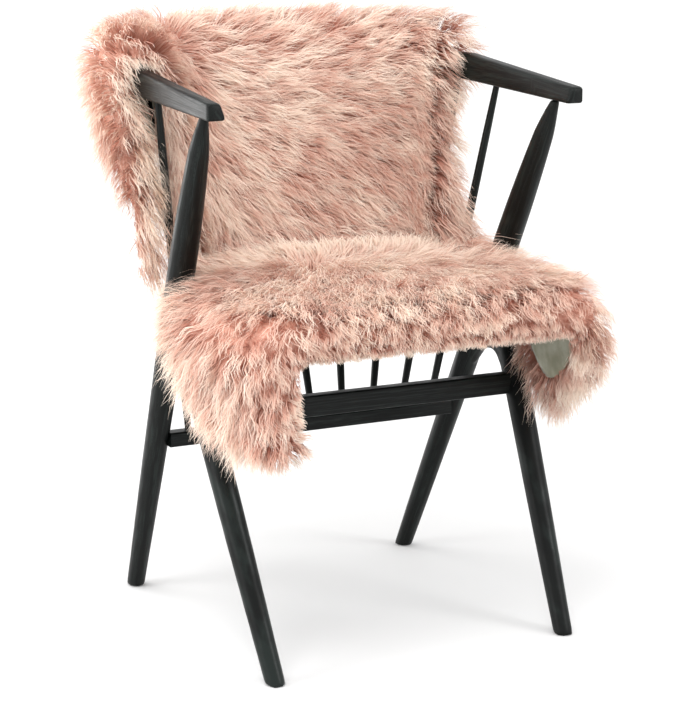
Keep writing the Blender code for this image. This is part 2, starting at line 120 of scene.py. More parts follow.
# The arms' front ends: length of the rounding, share of it by which they draw in, and the
# turns in degrees at which a ring is laid; plain rings follow from this distance on
ARM_END_ROUNDING = 0.007
ARM_END_INSET = 0.45
ARM_END_TURNS = (8, 22, 38, 54, 72, 90)
ARM_PLAIN_FROM = 0.03
ARM_PLAIN_RINGS = 12
BACK_RAIL_RINGS = 81
# The bend of the back is a quarter of an oval with this exponent
BEND_POWER = 2.5
BEND_STEPS = 96
CRISP_ANGLE = math.radians(50.0)

SEAT_OUTLINE = (
    # y, half width
    (-0.235, 0.196),
    (-0.222, 0.206),
    (-0.100, 0.213),
    (0.020, 0.2180),
    (0.055, 0.195),
    (0.090, 0.168),
    (0.120, 0.120),
    (0.138, 0.060),
)
SEAT_RINGS = (
    # share of the plan, share of the panel's thickness, metres added to that height
    (0.960, 0.0, 0.000),
    (0.985, 0.0, 0.002),
    (1.000, 0.0, 0.007),
    (1.000, 1.0, -0.006),
    (0.990, 1.0, -0.002),
    (0.955, 1.0, 0.000),
    (0.840, 1.0, 0.000),
    (0.740, 1.0, -0.002),
    (0.620, 1.0, -0.005),
    (0.400, 1.0, -0.006),
)

# The hide runs up the outside of the back rail, over it, down inside the spindles,
# across the seat and over the seat's front edge
FALL_POWER = 6.0
# Share of a seat row's columns that lie on the seat's top, and the most of its reach that
# they may take
TOP_SHARE = 9.0 / 14.0
TOP_REACH = 0.92
BACK_ROWS = (
    # name, height, off (outside the spindles is +), left and right reach along the
    # rail, left and right fall of the ends
    ("tail", 0.630, 0.0220, 0.385, 0.220, 0.150, 0.010),
    ("outside", 0.686, 0.0190, 0.352, 0.262, 0.060, 0.000),
    ("outer shoulder", 0.7285, 0.0175, 0.330, 0.278, 0.004, 0.000),
    ("outer top", 0.7410, 0.0120, 0.326, 0.280, 0.000, 0.000),
    ("rail top", 0.7450, 0.0000, 0.326, 0.282, 0.000, 0.000),
    ("inner top", 0.7415, -0.0140, 0.328, 0.280, 0.000, 0.000),
    ("inner shoulder", 0.7285, -0.0215, 0.328, 0.284, 0.000, 0.000),
    ("upper back", 0.660, -0.0240, 0.328, 0.296, 0.000, 0.000),
    ("middle back", 0.580, -0.0190, 0.328, 0.320, 0.000, 0.000),
    ("lower back", 0.515, -0.0180, 0.332, 0.345, 0.000, 0.000),
)
SEAT_ROWS = (
    # name, y, height, forward sweep of the ends, start of the left and right bend,
    # left and right reach, forward lean of the hanging sides
    ("crease", 0.122, 0.4570, 0.060, 0.300, 0.300, 0.200, 0.200, 0.00),
    ("seat back", 0.062, 0.4385, 0.040, 0.300, 0.300, 0.203, 0.203, 0.00),
    ("seat middle", -0.010, 0.4310, 0.034, 0.2180, 0.2180, 0.226, 0.226, 0.00),
    ("behind flaps", -0.078, 0.4305, 0.010, 0.2170, 0.2170, 0.268, 0.274, 0.05),
    ("flap back", -0.132, 0.4305, 0.010, 0.2150, 0.2150, 0.306, 0.322, 0.10),
    ("flap middle", -0.190, 0.4305, 0.006, 0.2110, 0.2110, 0.332, 0.290, 0.12),
    ("seat front", -0.232, 0.4320, 0.002, 0.2040, 0.2040, 0.336, 0.246, 0.12),
    ("front bend", -0.2455, 0.4255, 0.000, 0.1940, 0.1940, 0.318, 0.222, 0.12),
    ("hem", -0.252, 0.4110, 0.000, 0.1850, 0.1850, 0.280, 0.204, 0.10),
)

# How the wool lies on each row: the way it points, in degrees from the skin's own line
# (tail to hem) towards the viewer's right, at seven places across the skin
WAY_PLACES = (-1.0, -0.75, -0.4, 0.0, 0.4, 0.75, 1.0)
WOOL_WAYS = (
    ("tail", -130, -160, 180, 180, 180, 160, 130),
    ("outside", -120, -150, 170, 160, 150, 140, 110),
    ("outer shoulder", -110, -140, 140, 130, 130, 120, 90),
    ("outer top", -100, -120, 125, 115, 115, 110, 80),
    ("rail top", -90, -100, 115, 125, 125, 110, 75),
    ("inner top", -85, -80, 105, 125, 125, 110, 70),
    ("inner shoulder", -80, -60, 90, 120, 120, 105, 70),
    ("upper back", -70, -35, 75, 110, 110, 95, 65),
    ("middle back", -60, -20, 55, 75, 70, 60, 40),
    ("lower back", -60, -20, 40, 55, 60, 40, 15),
    ("crease", -60, -20, 20, 20, 60, 40, 15),
    ("seat back", -60, -70, -150, 180, 160, 110, 60),
    ("seat middle", -110, -145, -100, 40, 80, 85, 85),
    ("behind flaps", -100, -135, -65, 20, 60, 80, 90),
    ("flap back", -85, -100, -50, 0, 50, 80, 90),
    ("flap middle", -75, -75, -45, 0, 45, 75, 85),
    ("seat front", -80, -70, -30, 0, 30, 65, 75),
    ("front bend", -70, -50, -20, 0, 20, 50, 65),
    ("hem", -60, -40, -10, 0, 10, 40, 60),
)
# How pale the wool is at the same seven places: 0 deep pink, 1 cream, and more than 1 where it stays cream
# even in the patches that took the dye best. The table is partly the dye and partly painted light: only the
# seat's back ridge goes past 1, as a painted highlight on its lit top, and the crease is kept deep as
# painted shade.
WOOL_PALENESS = (
    # Partly painted light: the first two places of the tail, outside and outer shoulder rows are pale
    # partly as wool that stayed pale and partly for the light on the skin's left flank
    ("tail", 0.95, 0.90, 0.60, 0.55, 0.55, 0.55, 0.55),
    ("outside", 1.00, 0.95, 0.65, 0.55, 0.55, 0.55, 0.55),
    ("outer shoulder", 1.00, 0.90, 0.65, 0.60, 0.60, 0.60, 0.60),
    ("outer top", 0.75, 0.60, 0.70, 0.65, 0.60, 0.55, 0.60),
    ("rail top", 0.55, 0.40, 0.75, 0.68, 0.60, 0.50, 0.65),
    ("inner top", 0.40, 0.20, 0.70, 0.62, 0.52, 0.40, 0.60),
    ("inner shoulder", 0.30, 0.12, 0.62, 0.58, 0.45, 0.35, 0.50),
    ("upper back", 0.35, 0.30, 0.70, 0.50, 0.42, 0.42, 0.50),
    ("middle back", 0.55, 0.80, 0.50, 0.30, 0.40, 0.35, 0.25),
    ("lower back", 0.50, 0.85, 0.45, 0.35, 0.45, 0.15, 0.05),
    # Painted shade: the crease is kept deep pink for the shade that falls where the back meets the seat
    ("crease", 0.35, 0.50, 0.20, 0.20, 0.25, 0.05, 0.00),
    # Painted highlight: the seat's back ridge is paler than cream for the light on its top
    ("seat back", 0.90, 1.00, 1.25, 1.30, 1.35, 1.35, 1.10),
    ("seat middle", 0.65, 0.62, 0.35, 0.75, 0.80, 0.80, 0.75),
    ("behind flaps", 0.60, 0.50, 0.10, 0.55, 0.60, 0.60, 0.62),
    ("flap back", 0.60, 0.45, 0.36, 0.42, 0.45, 0.55, 0.60),
    ("flap middle", 0.55, 0.45, 0.36, 0.35, 0.36, 0.50, 0.60),
    ("seat front", 0.50, 0.42, 0.36, 0.33, 0.33, 0.45, 0.55),
    ("front bend", 0.50, 0.42, 0.38, 0.36, 0.36, 0.45, 0.55),
    ("hem", 0.55, 0.50, 0.45, 0.45, 0.45, 0.50, 0.60),
)
WOOL_ROWS = (
    # name, pile height, length in sight, lift at the root (1 stands up), crimp, density
    ("tail", 0.040, 0.054, 0.70, 0.0012, 0.80),
    ("outside", 0.046, 0.058, 0.75, 0.0012, 0.80),
    ("outer shoulder", 0.054, 0.062, 0.85, 0.0012, 0.90),
    ("outer top", 0.064, 0.066, 0.95, 0.0012, 1.35),
    ("rail top", 0.066, 0.068, 0.95, 0.0012, 1.60),
    ("inner top", 0.064, 0.066, 0.95, 0.0012, 1.20),
    ("inner shoulder", 0.054, 0.062, 0.85, 0.0012, 1.00),
    ("upper back", 0.046, 0.060, 0.75, 0.0015, 0.95),
    ("middle back", 0.044, 0.058, 0.70, 0.0018, 0.90),
    ("lower back", 0.042, 0.056, 0.75, 0.0018, 0.80),
    ("crease", 0.034, 0.046, 0.90, 0.0018, 0.60),
    ("seat back", 0.060, 0.058, 0.94, 0.0012, 1.20),
    ("seat middle", 0.060, 0.076, 0.85, 0.0022, 0.95),
    ("behind flaps", 0.062, 0.078, 0.76, 0.0024, 0.85),
    ("flap back", 0.062, 0.074, 0.74, 0.0030, 0.85),
    ("flap middle", 0.060, 0.068, 0.74, 0.0034, 0.90),
    ("seat front", 0.056, 0.056, 0.78, 0.0034, 1.15),
    ("front bend", 0.040, 0.032, 0.78, 0.0028, 1.50),
    ("hem", 0.027, 0.015, 0.75, 0.0016, 2.00),
)
RIM_ROWS = (
    # name; length, turn and density of the rim's locks at the left end, then at the right;
    # the turn is in degrees from the hide's plane, minus towards its back
    ("tail", 0.060, -50, 2.5, 0.050, -10, 1.0),
    ("outside", 0.074, -50, 3.0, 0.056, -10, 1.0),
    ("outer shoulder", 0.052, 0, 2.5, 0.060, 10, 1.2),
    ("outer top", 0.044, 30, 1.8, 0.062, 20, 1.4),
    ("rail top", 0.042, 35, 1.6, 0.062, 20, 1.4),
    ("inner top", 0.042, 30, 1.8, 0.062, 20, 1.4),
    ("inner shoulder", 0.048, 0, 2.5, 0.062, 10, 1.4),
    ("upper back", 0.080, -35, 3.0, 0.066, 5, 1.6),
    ("middle back", 0.090, -35, 3.0, 0.080, 0, 2.0),
    ("lower back", 0.084, -35, 2.5, 0.122, 0, 3.2),
    ("crease", 0.068, -10, 1.4, 0.132, 25, 3.4),
    ("seat back", 0.074, 45, 2.2, 0.080, 40, 2.6),
    ("seat middle", 0.078, 45, 2.4, 0.066, 30, 1.8),
    ("behind flaps", 0.070, 50, 2.0, 0.070, -20, 1.6),
    ("flap back", 0.056, 25, 1.4, 0.078, -20, 1.8),
    ("flap middle", 0.040, 10, 1.2, 0.060, -25, 1.4),
    ("seat front", 0.040, 0, 1.2, 0.056, -40, 1.0),
    ("front bend", 0.036, 0, 1.2, 0.044, -10, 1.0),
    ("hem", 0.030, 0, 1.2, 0.030, 0, 1.0),
)
# Length and turn of the rim's locks along the tail and along the hem
TAIL_RIM = (0.030, -5)
HEM_RIM = (0.012, 5)
WOOL_PARTS = (
    # piece, first row, last row, from share, to share, strands in a lock
    ("wool_outside", "tail", "outer top", -1.0, 1.0, 7),
    ("wool_rail", "outer top", "inner shoulder", -1.0, 1.0, 12),
    ("wool_back_left", "inner shoulder", "crease", -1.0, 0.0, 11),
    ("wool_back_right", "inner shoulder", "crease", 0.0, 1.0, 11),
    ("wool_seat_back", "crease", "behind flaps", -1.0, 1.0, 11),
    ("wool_seat_front", "behind flaps", "hem", -0.62, 0.62, 16),
    ("wool_left_flap", "behind flaps", "hem", -1.0, -0.62, 14),
    ("wool_right_flap", "behind flaps", "hem", 0.62, 1.0, 14),
)

# How the locks vary. A spread is that of a bell curve, a pair is the least and the most.
LOCK_STEPS = 5
LOCK_WAY_SPREAD = 0.22
LOCK_LENGTHS = (0.80, 1.10)
LOCK_LIFT_SPREAD = 0.08
LOCK_LIFTS = (0.2, 1.0)
LIFT_FADE = 0.8
# A lock that lies down turns this much of its rise into flow
FLOW_LOSS = 0.8
# The height that a lock keeps above the hide, from root to tip, as shares of the pile
LOCK_HEIGHTS = (0.45, 0.66)
# Closer to the hide's rim than this a lock is free to hang over it
EDGE_FREE = 0.004
# Locks at the rim: share of the pile in which they root, pull outwards, spread of the turn
# and share of their row's lift
RIM_ROOTS = 0.4
RIM_OUTWARD = 1.3
RIM_TURN_SPREAD = 0.45
RIM_LIFT = 0.8
# A rim lock's flow is mixed from the wool's way, the way out of the hide and straight down
RIM_FLOW_MIX = (0.5, 0.6, 0.5)
# The pile begins to rise at this distance from the rim, and the dense wool this much further in
RIM_START = 0.003
UNDERLAYER_MARGIN = 0.014
# Gap between the hide and the dense wool, and the least height that the wool has there
UNDERLAYER_GAP = 0.0002
UNDERLAYER_LEAST = 0.0005

# How the strands of a lock vary
STRAND_REACHES = (0.72, 1.0)
LOCK_RADIUS = 0.95
# Locks and their crimp are this much flatter off the hide than along it
LOCK_FLATNESS = 0.6
TIGHTNESS = (0.25, 0.85)
LOOSE_SHARE = 0.30
GATHER_POWER = 1.2
STRAY_POWER = 1.6
STRAY_SPREADS = (0.10, 0.06)
CRIMP_PHASE_SPREAD = 0.5
CRIMP_SWINGS = (0.7, 1.3)
CRIMP_RISE = 2.5
STRAND_ROLL = 0.4
STRAND_WIDTHS = (0.6, 1.15)
# Share of the length from the root, share of the width
STRAND_TAPER = ((0.0, 0.25, 0.65, 1.0), (0.75, 1.0, 0.75, 0.10))
# A strand is shaded by its own face, by its side of the lock and by the lock's stand
SHADE_MIX = (0.35, 0.25, 0.55)
LOCK_PALE_SPREAD = 0.30
STRAND_PALE_SPREAD = 0.06
PALEST = 1.4
FIBRE_SHIFT = 0.01

BLACK = (0.0, 0.0, 0.0)
WHITE = (1.0, 1.0, 1.0)


def linear(code):
    """A colour written as sRGB hex, turned into the linear values that Blender mixes."""
    parts = [int(code[k:k + 2], 16) / 255.0 for k in (1, 3, 5)]
    return tuple(c / 12.92 if c <= 0.04045 else ((c + 0.055) / 1.055) ** 2.4 for c in parts)


def number_property(name, description, default, unit="NONE"):
    return FloatProperty(name=name, description=description, default=default, unit=unit, precision=4)


def length_property(name, description, default):
    return number_property(name, description, default, "LENGTH")


def place_property(name, description, default):
    return FloatVectorProperty(
        name=name, description=description, default=default, subtype="XYZ", unit="LENGTH", precision=4
    )


def colour_property(name, description, code):
    return FloatVectorProperty(
        name=name, description=description, default=linear(code), subtype="COLOR", min=0.0, max=1.0
    )


class ChairSizes(bpy.types.PropertyGroup):
    """Driving sizes of the chair, laid out from the middle of its feet."""

    feet_middle: place_property("Feet middle", "Middle of the feet on the floor", (0.0105, -0.0115, 0.0))
    foot_front: place_property("Front foot", "Centre of the right front foot", (0.2096, -0.2265, 0.0))
    foot_rear: place_property("Rear foot", "Centre of the right rear foot", (0.2153, 0.2265, 0.0))
    post_top: place_property("Post top", "Where the right rear leg meets the arm", (0.2492, -0.1203, 0.685))
    leg_join_height: length_property("Leg joint", "Height at which front and rear leg meet", 0.4427)
    arch_radius: length_property("Arch", "Rounding under the joint of the two legs", 0.0535)
    web_thickness: length_property("Web", "Thickness of the wood that fills the leg joint", 0.027)
    front_rail_height: length_property("Front rail", "Height of the front rail's middle", 0.307)
    rear_rail_y: length_property("Rear rail depth", "Place of the rear rail from front to back", 0.0955)
    rear_rail_height: length_property("Rear rail", "Height of the rear rail's middle", 0.2405)
    spindle_span: length_property("Spindle span", "First to last spindle along the rear rail", 0.372)
    spindle_reach: length_property("Spindle reach", "The outermost spindles meet the arms here", 0.028)
    arm_front: length_property("Arm end", "Place of the arms' front ends", -0.165)
    arm_half_front: length_property("Half width at front", "Half the width between the arm ends", 0.2513)
    arm_half_back: length_property("Half width at bend", "Half the width where the bend begins", 0.2474)
    bend_start: length_property("Bend start", "Place where the arms begin to bend", 0.10)
    back: length_property("Back", "Place of the bent rail's middle", 0.25)
    arm_top_front: length_property("Arm height front", "Top of the arms at the front", 0.7112)
    arm_top_back: length_property("Arm height back", "Top of the arms at the bend", 0.7385)
    arm_tall_front: length_property("Arm depth front", "Height of the arm's section at the front", 0.0215)
    arm_tall_back: length_property("Arm depth back", "Height of the arm's section at the bend", 0.0355)
    arm_wide_top: length_property("Arm width top", "Width of the arm's top face", 0.018)
    arm_wide_bottom: length_property("Arm width bottom", "Width of the arm's underside", 0.025)
    seat_top: length_property("Seat height", "Top of the seat panel's rim", 0.430)
    seat_thickness: length_property("Seat thickness", "Thickness of the seat panel", 0.022)


class SkinSizes(bpy.types.PropertyGroup):
    """Sizes of the hide and settings of the wool on it."""

    thickness: length_property("Hide thickness", "Thickness of the tanned hide", 0.0024)
    side_bend: length_property("Side bend", "Length of hide that turns over the seat's side", 0.016)
    grid_step: length_property("Grid step", "Spacing of the hide's rows", 0.011)
    columns: IntProperty(name="Columns", description="Columns of the hide, left to right", default=56)
    clump_spacing: length_property("Clump spacing", "Distance between two locks of wool", 0.0085)
    rim_spacing: length_property("Rim spacing", "Distance between two locks at the hide's rim", 0.0026)
    strand_width: length_property("Strand width", "Widest part of a drawn strand", 0.0013)
    crimp_wave: length_property("Crimp wave", "Length of one wave of the crimp", 0.036)
    underwool: number_property("Underwool", "Height of the dense wool, share of the pile", 0.42)
    root_height: number_property("Root height", "Where the drawn strands begin, share of the pile", 0.36)
    rim_pull: length_property("Rim pull", "Width in which the wool turns outwards at the rim", 0.030)
    droop: number_property("Droop", "Pull of gravity on the tips", 0.55)
    rim_width: length_property("Rim", "Width of the rim over which the pile rises", 0.016)
    seed: IntProperty(name="Seed", description="Seed of the wool's random numbers", default=4)


class FinishColours(bpy.types.PropertyGroup):
    """Colours of the finishes, matched to the object."""

    wool_deep: colour_property("Wool deep", "Dyed wool between the locks", "#c38370")
    wool_middle: colour_property("Wool middle", "Dyed wool along the strands", "#edcab8")
    wool_tip: colour_property("Wool tip", "Sun-paled tips of the wool", "#fff4e6")
    suede: colour_property("Suede", "Back of the tanned hide", "#85836a")
    wood: colour_property("Wood", "Black stain on the ash", "#070a09")
    wood_grain: colour_property("Wood grain", "Paler raised grain between the pores", "#1a201e")
    floor: colour_property("Floor", "Matte studio floor", "#e0e0e0")
    backdrop: colour_property("Backdrop", "Floor where it recedes into the background", "#ffffff")


class StudioSettings(bpy.types.PropertyGroup):
    """Camera and lights."""

    camera_place: place_property("Camera", "Place of the camera", (-1.2675, -2.5265, 0.949))
    azimuth: FloatProperty(
        name="Azimuth", description="Turn of the view about the upright axis",
        default=math.radians(-27.11), subtype="ANGLE",
    )
    elevation: FloatProperty(
        name="Elevation", description="Camera's angle above the horizon",
        default=math.radians(11.91), subtype="ANGLE",
    )
    lens: number_property("Lens", "Focal length for a 36 mm sensor", 109.87, "CAMERA")
    sky: number_property("Surround", "Brightness of the white surround", 1.15)
    key: number_property("Key light", "Power of the large soft light above", 58.0, "POWER")
    edge: number_property("Edge light", "Power of the low light behind, at the left", 52.0, "POWER")
    side: number_property("Side light", "Power of the light at the left", 36.0, "POWER")
    fill: number_property("Fill light", "Power of the light in front at the right", 34.0, "POWER")


def add_node(tree, kind, inputs=None, stops=None, **options):
    """Add a node with its options, its input values or links, and the stops of a colour ramp."""
    node = tree.nodes.new(kind)
    for option, value in options.items():
        setattr(node, option, value)
    for socket, value in (inputs or {}).items():
        if isinstance(value, bpy.types.NodeSocket):
            tree.links.new(value, node.inputs[socket])
        else:
            node.inputs[socket].default_value = value
    if stops:
        ramp = node.color_ramp.elements
        while len(ramp) < len(stops):
            ramp.new(0.5)
        for element, (position, colour) in zip(ramp, stops):
            element.position = position
            element.color = tuple(colour) + (1.0,)
    return node


def new_material(name):
    """An empty node tree with its output, ready for a Principled shader."""
    material = bpy.data.materials.new(name)
    material.use_nodes = True
    tree = material.node_tree
    tree.nodes.clear()
    output = tree.nodes.new("ShaderNodeOutputMaterial")
    return material, tree, output.inputs["Surface"]


def mix_colours(low, high, share):
    return tuple(a + (b - a) * share for a, b in zip(low, high))


def dyed_long_wool(colours):
    """Long sheep's wool, combed and acid-dyed: soft sheen, deep roots darkened further with painted shade,
    and sun-paled tips.
    """
    material, tree, surface = new_material("dyed_long_wool")
    tone = add_node(tree, "ShaderNodeUVMap", uv_map="tone")
    fibre = add_node(tree, "ShaderNodeUVMap", uv_map="fibre")
    split = add_node(tree, "ShaderNodeSeparateXYZ", {"Vector": tone.outputs["UV"]})
    # Single fibres are 0.04 mm thick; the streaks are 0.6 mm wide so that the render shows
    # them, and they change every 45 mm along a lock
    grain = add_node(
        tree, "ShaderNodeMapping", {"Vector": fibre.outputs["UV"], "Scale": (1 / 0.0006, 1 / 0.045, 1.0)}
    )
    streak = add_node(
        tree, "ShaderNodeTexNoise", {"Vector": grain.outputs["Vector"], "Scale": 1.0, "Detail": 2.0}
    )
    deep, middle, tip = colours.wool_deep, colours.wool_middle, colours.wool_tip
    # Both ramps run from root to tip: wool that took the dye well, and wool that stayed pale. The mix
    # between them also carries the painted highlight and painted shade set in the table of paleness.
    dark = add_node(
        tree, "ShaderNodeValToRGB", {"Fac": split.outputs["Y"]},
        stops=[
            # Painted shade: the root is darkened towards black for the shade deep in the pile, on top of
            # the wool's deeper dye there
            (0.00, mix_colours(deep, BLACK, 0.12)),
            (0.35, mix_colours(deep, middle, 0.10)),
            (0.72, mix_colours(deep, middle, 0.70)),
            (1.00, mix_colours(middle, tip, 0.70)),
        ],
    )
    pale = add_node(
        tree, "ShaderNodeValToRGB", {"Fac": split.outputs["Y"]},
        stops=[
            (0.00, mix_colours(deep, middle, 0.2)),
            (0.30, middle),
            (0.62, mix_colours(middle, tip, 0.70)),
            (1.00, tip),
        ],
    )
    # The dye took unevenly, in soft patches about 50 mm across. The patches, the table of
    # paleness and the streaks add up to the share of the pale ramp.
    place = add_node(tree, "ShaderNodeTexCoord")
    patches = add_node(
        tree, "ShaderNodeTexNoise", {"Vector": place.outputs["Object"], "Scale": 1 / 0.05, "Detail": 2.0}
    )
    uneven = add_node(
        tree, "ShaderNodeMath", {0: patches.outputs["Fac"], 1: 2.8, 2: split.outputs["X"]},
        operation="MULTIPLY_ADD",
    )
    level = add_node(
        tree, "ShaderNodeMath", {0: streak.outputs["Fac"], 1: 0.30, 2: uneven.outputs["Value"]},
        operation="MULTIPLY_ADD",
    )
    centred = add_node(
        tree, "ShaderNodeMath", {0: level.outputs["Value"], 1: 1.55},
        operation="SUBTRACT", use_clamp=True,
    )
    blend = add_node(
        tree, "ShaderNodeMix",
        {0: centred.outputs["Value"], 6: dark.outputs["Color"], 7: pale.outputs["Color"]},
        data_type="RGBA",
    )
    shader = add_node(
        tree, "ShaderNodeBsdfPrincipled",
        {
            "Base Color": blend.outputs[2], "Roughness": 0.75, "IOR": 1.55,
            "Specular IOR Level": 0.12, "Sheen Weight": 0.12, "Sheen Roughness": 0.6,
            "Sheen Tint": tuple(tip) + (1.0,),
        },
    )
    through = add_node(tree, "ShaderNodeBsdfTranslucent", {"Color": blend.outputs[2]})
    both = add_node(
        tree, "ShaderNodeMixShader",
        {0: 0.35, 1: shader.outputs["BSDF"], 2: through.outputs["BSDF"]},
    )
    tree.links.new(both.outputs["Shader"], surface)
    return material


def dense_underwool(colours):
    """Short matted wool next to the hide, seen only in the partings."""
    material, tree, surface = new_material("dense_underwool")
    place = add_node(tree, "ShaderNodeTexCoord")
    # Matted tufts about 4 mm across
    tufts = add_node(
        tree, "ShaderNodeTexNoise", {"Vector": place.outputs["Object"], "Scale": 1 / 0.004, "Detail": 4.0}
    )
    deep = colours.wool_deep
    ramp = add_node(
        tree, "ShaderNodeValToRGB", {"Fac": tufts.outputs["Fac"]},
        stops=[
            (0.3, mix_colours(deep, BLACK, 0.10)),
            (0.7, mix_colours(deep, colours.wool_middle, 0.55)),
        ],
    )
    bump = add_node(
        tree, "ShaderNodeBump", {"Height": tufts.outputs["Fac"], "Strength": 0.8, "Distance": 0.002}
    )
    shader = add_node(
        tree, "ShaderNodeBsdfPrincipled",
        {
            "Base Color": ramp.outputs["Color"], "Roughness": 0.9, "Specular IOR Level": 0.15,
            "Normal": bump.outputs["Normal"],
        },
    )
    tree.links.new(shader.outputs["BSDF"], surface)
    return material


def suede_hide(colours):
    """Tanned and buffed hide: matte, with a short nap that shades it in soft patches."""
    material, tree, surface = new_material("suede_hide")
    place = add_node(tree, "ShaderNodeTexCoord")
    # Patches of brushed nap about 25 mm across; the nap's own fibres are 0.2 mm, and are drawn
    # as 1 mm grains so that the render shows them
    patches = add_node(
        tree, "ShaderNodeTexNoise", {"Vector": place.outputs["Object"], "Scale": 1 / 0.025, "Detail": 3.0}
    )
    nap = add_node(
        tree, "ShaderNodeTexNoise", {"Vector": place.outputs["Object"], "Scale": 1 / 0.001, "Detail": 2.0}
    )
    suede = colours.suede
    ramp = add_node(
        tree, "ShaderNodeValToRGB", {"Fac": patches.outputs["Fac"]},
        stops=[(0.35, mix_colours(suede, BLACK, 0.22)), (0.65, mix_colours(suede, WHITE, 0.10))],
    )
    bump = add_node(
        tree, "ShaderNodeBump", {"Height": nap.outputs["Fac"], "Strength": 0.35, "Distance": 0.0006}
    )
    shader = add_node(
        tree, "ShaderNodeBsdfPrincipled",
        {
            "Base Color": ramp.outputs["Color"], "Roughness": 0.95, "Specular IOR Level": 0.2,
            "Sheen Weight": 0.3, "Normal": bump.outputs["Normal"],
        },
    )
    tree.links.new(shader.outputs["BSDF"], surface)
    return material


def black_stained_ash(colours):
    """Ash turned, sanded and stained black: matte, with the open grain as fine lengthwise lines."""
    material, tree, surface = new_material("black_stained_ash")
    fibre = add_node(tree, "ShaderNodeUVMap", uv_map="fibre")
    # Growth rings 6 mm apart that drift over 160 mm. Pores are 0.3 mm wide; they are drawn
    # 1 mm wide and 30 mm long so that the render shows them.
    rings = add_node(
        tree, "ShaderNodeMapping", {"Vector": fibre.outputs["UV"], "Scale": (1 / 0.006, 1 / 0.16, 1.0)}
    )
    ring_noise = add_node(
        tree, "ShaderNodeTexNoise", {"Vector": rings.outputs["Vector"], "Scale": 1.0, "Detail": 2.0}
    )
    pores = add_node(
        tree, "ShaderNodeMapping", {"Vector": fibre.outputs["UV"], "Scale": (1 / 0.001, 1 / 0.030, 1.0)}
    )
    pore_noise = add_node(
        tree, "ShaderNodeTexNoise", {"Vector": pores.outputs["Vector"], "Scale": 1.0, "Detail": 3.0}
    )
    grain = add_node(
        tree, "ShaderNodeMath", {0: ring_noise.outputs["Fac"], 1: pore_noise.outputs["Fac"]},
        operation="MULTIPLY",
    )
    ramp = add_node(
        tree, "ShaderNodeValToRGB", {"Fac": grain.outputs["Value"]},
        stops=[
            (0.18, mix_colours(colours.wood, BLACK, 0.4)),
            (0.25, colours.wood),
            (0.34, colours.wood_grain),
        ],
    )
    gloss = add_node(
        tree, "ShaderNodeMapRange",
        {
            "Value": grain.outputs["Value"],
            "From Min": 0.15, "From Max": 0.35, "To Min": 0.50, "To Max": 0.32,
        },
    )
    bump = add_node(
        tree, "ShaderNodeBump", {"Height": grain.outputs["Value"], "Strength": 0.35, "Distance": 0.0005}
    )
    shader = add_node(
        tree, "ShaderNodeBsdfPrincipled",
        {
            "Base Color": ramp.outputs["Color"], "Roughness": gloss.outputs["Result"],
            "IOR": 1.45, "Specular IOR Level": 0.20, "Normal": bump.outputs["Normal"],
        },
    )
    tree.links.new(shader.outputs["BSDF"], surface)
    return material


def matte_floor(colours):
    """Painted studio floor, matte and even in finish, greyer near the object and white where it recedes
    into the background: painted light that evens out the lamps' extra light near the object.
    """
    material, tree, surface = new_material("matte_floor")
    place = add_node(tree, "ShaderNodeTexCoord")
    # Distance from the object: the floor is at its greyest within 1 m and white from 4 m on
    distance = add_node(tree, "ShaderNodeVectorMath", {0: place.outputs["Object"]}, operation="LENGTH")
    reach = add_node(
        tree, "ShaderNodeMapRange",
        {"Value": distance.outputs["Value"], "From Min": 1.0, "From Max": 4.0},
    )
    # Painted light: the grey near the object takes back the lamps' extra light there so that the shadows at
    # the feet show, and the white far off stands in for the bright backdrop
    ramp = add_node(
        tree, "ShaderNodeValToRGB", {"Fac": reach.outputs["Result"]},
        stops=[(0.0, colours.floor), (1.0, colours.backdrop)],
    )
    shader = add_node(
        tree, "ShaderNodeBsdfPrincipled",
        {"Base Color": ramp.outputs["Color"], "Roughness": 0.8, "Specular IOR Level": 0.1},
    )
    tree.links.new(shader.outputs["BSDF"], surface)
    return material


def finish(maker):
    """The material that a maker function gives, made once and shared by its pieces."""
    found = bpy.data.materials.get(maker.__name__)
    return found or maker(bpy.context.scene.finish_colours)


def new_piece(name, mesh, material, nodes=()):
    """Put a mesh into the scene as a piece that rides on the frame and stands for its nodes."""
    piece = bpy.data.objects.new(name, mesh)
    bpy.context.scene.collection.objects.link(piece)
    mesh.materials.append(material)
    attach(piece, "root")
    if nodes:
        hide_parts(*nodes)
    return piece


def new_wood(name, mesh, grain_start, grain_end, nodes, crisp=True):
    """Put in a piece of the chair, its grain laid from start to end and its edges crisp or not."""
    if crisp:
        mesh.set_sharp_from_angle(angle=CRISP_ANGLE)
    lay_grain(mesh, grain_start, grain_end)
    return new_piece(name, mesh, finish(black_stained_ash), nodes)


def mesh_of(name, verts, faces):
    mesh = bpy.data.meshes.new(name)
    mesh.from_pydata([tuple(v) for v in verts], [], faces)
    mesh.shade_smooth()
    return mesh


def ring_faces(rings, sides):
    """Faces of a tube of rings, each ring `sides` points long, with both ends filled."""
    faces = []
    for r in range(rings - 1):
        for k in range(sides):
            n = (k + 1) % sides
            faces.append((r * sides + k, r * sides + n, (r + 1) * sides + n, (r + 1) * sides + k))
    faces.append(tuple(reversed(range(sides))))
    faces.append(tuple((rings - 1) * sides + k for k in range(sides)))
    return faces


def lay_grain(mesh, start, end):
    """Grain coordinates in metres: round the member and along it from start to end."""
    usual_radius = 0.015
    shift_between_members = 0.37
    axis = (end - start).normalized()
    across = axis.orthogonal().normalized()
    other = axis.cross(across)
    co = np.empty(len(mesh.vertices) * 3)
    mesh.vertices.foreach_get("co", co)
    offset = co.reshape(-1, 3) - np.array(start)
    along = offset @ np.array(axis)
    turn = np.arctan2(offset @ np.array(other), offset @ np.array(across))
    loops = np.empty(len(mesh.loops), dtype=int)
    mesh.loops.foreach_get("vertex_index", loops)
    grain = np.stack((turn * usual_radius + shift_between_members * start.x, along), axis=1)
    layer = mesh.uv_layers.new(name="fibre")
    layer.data.foreach_set("uv", grain[loops].ravel())


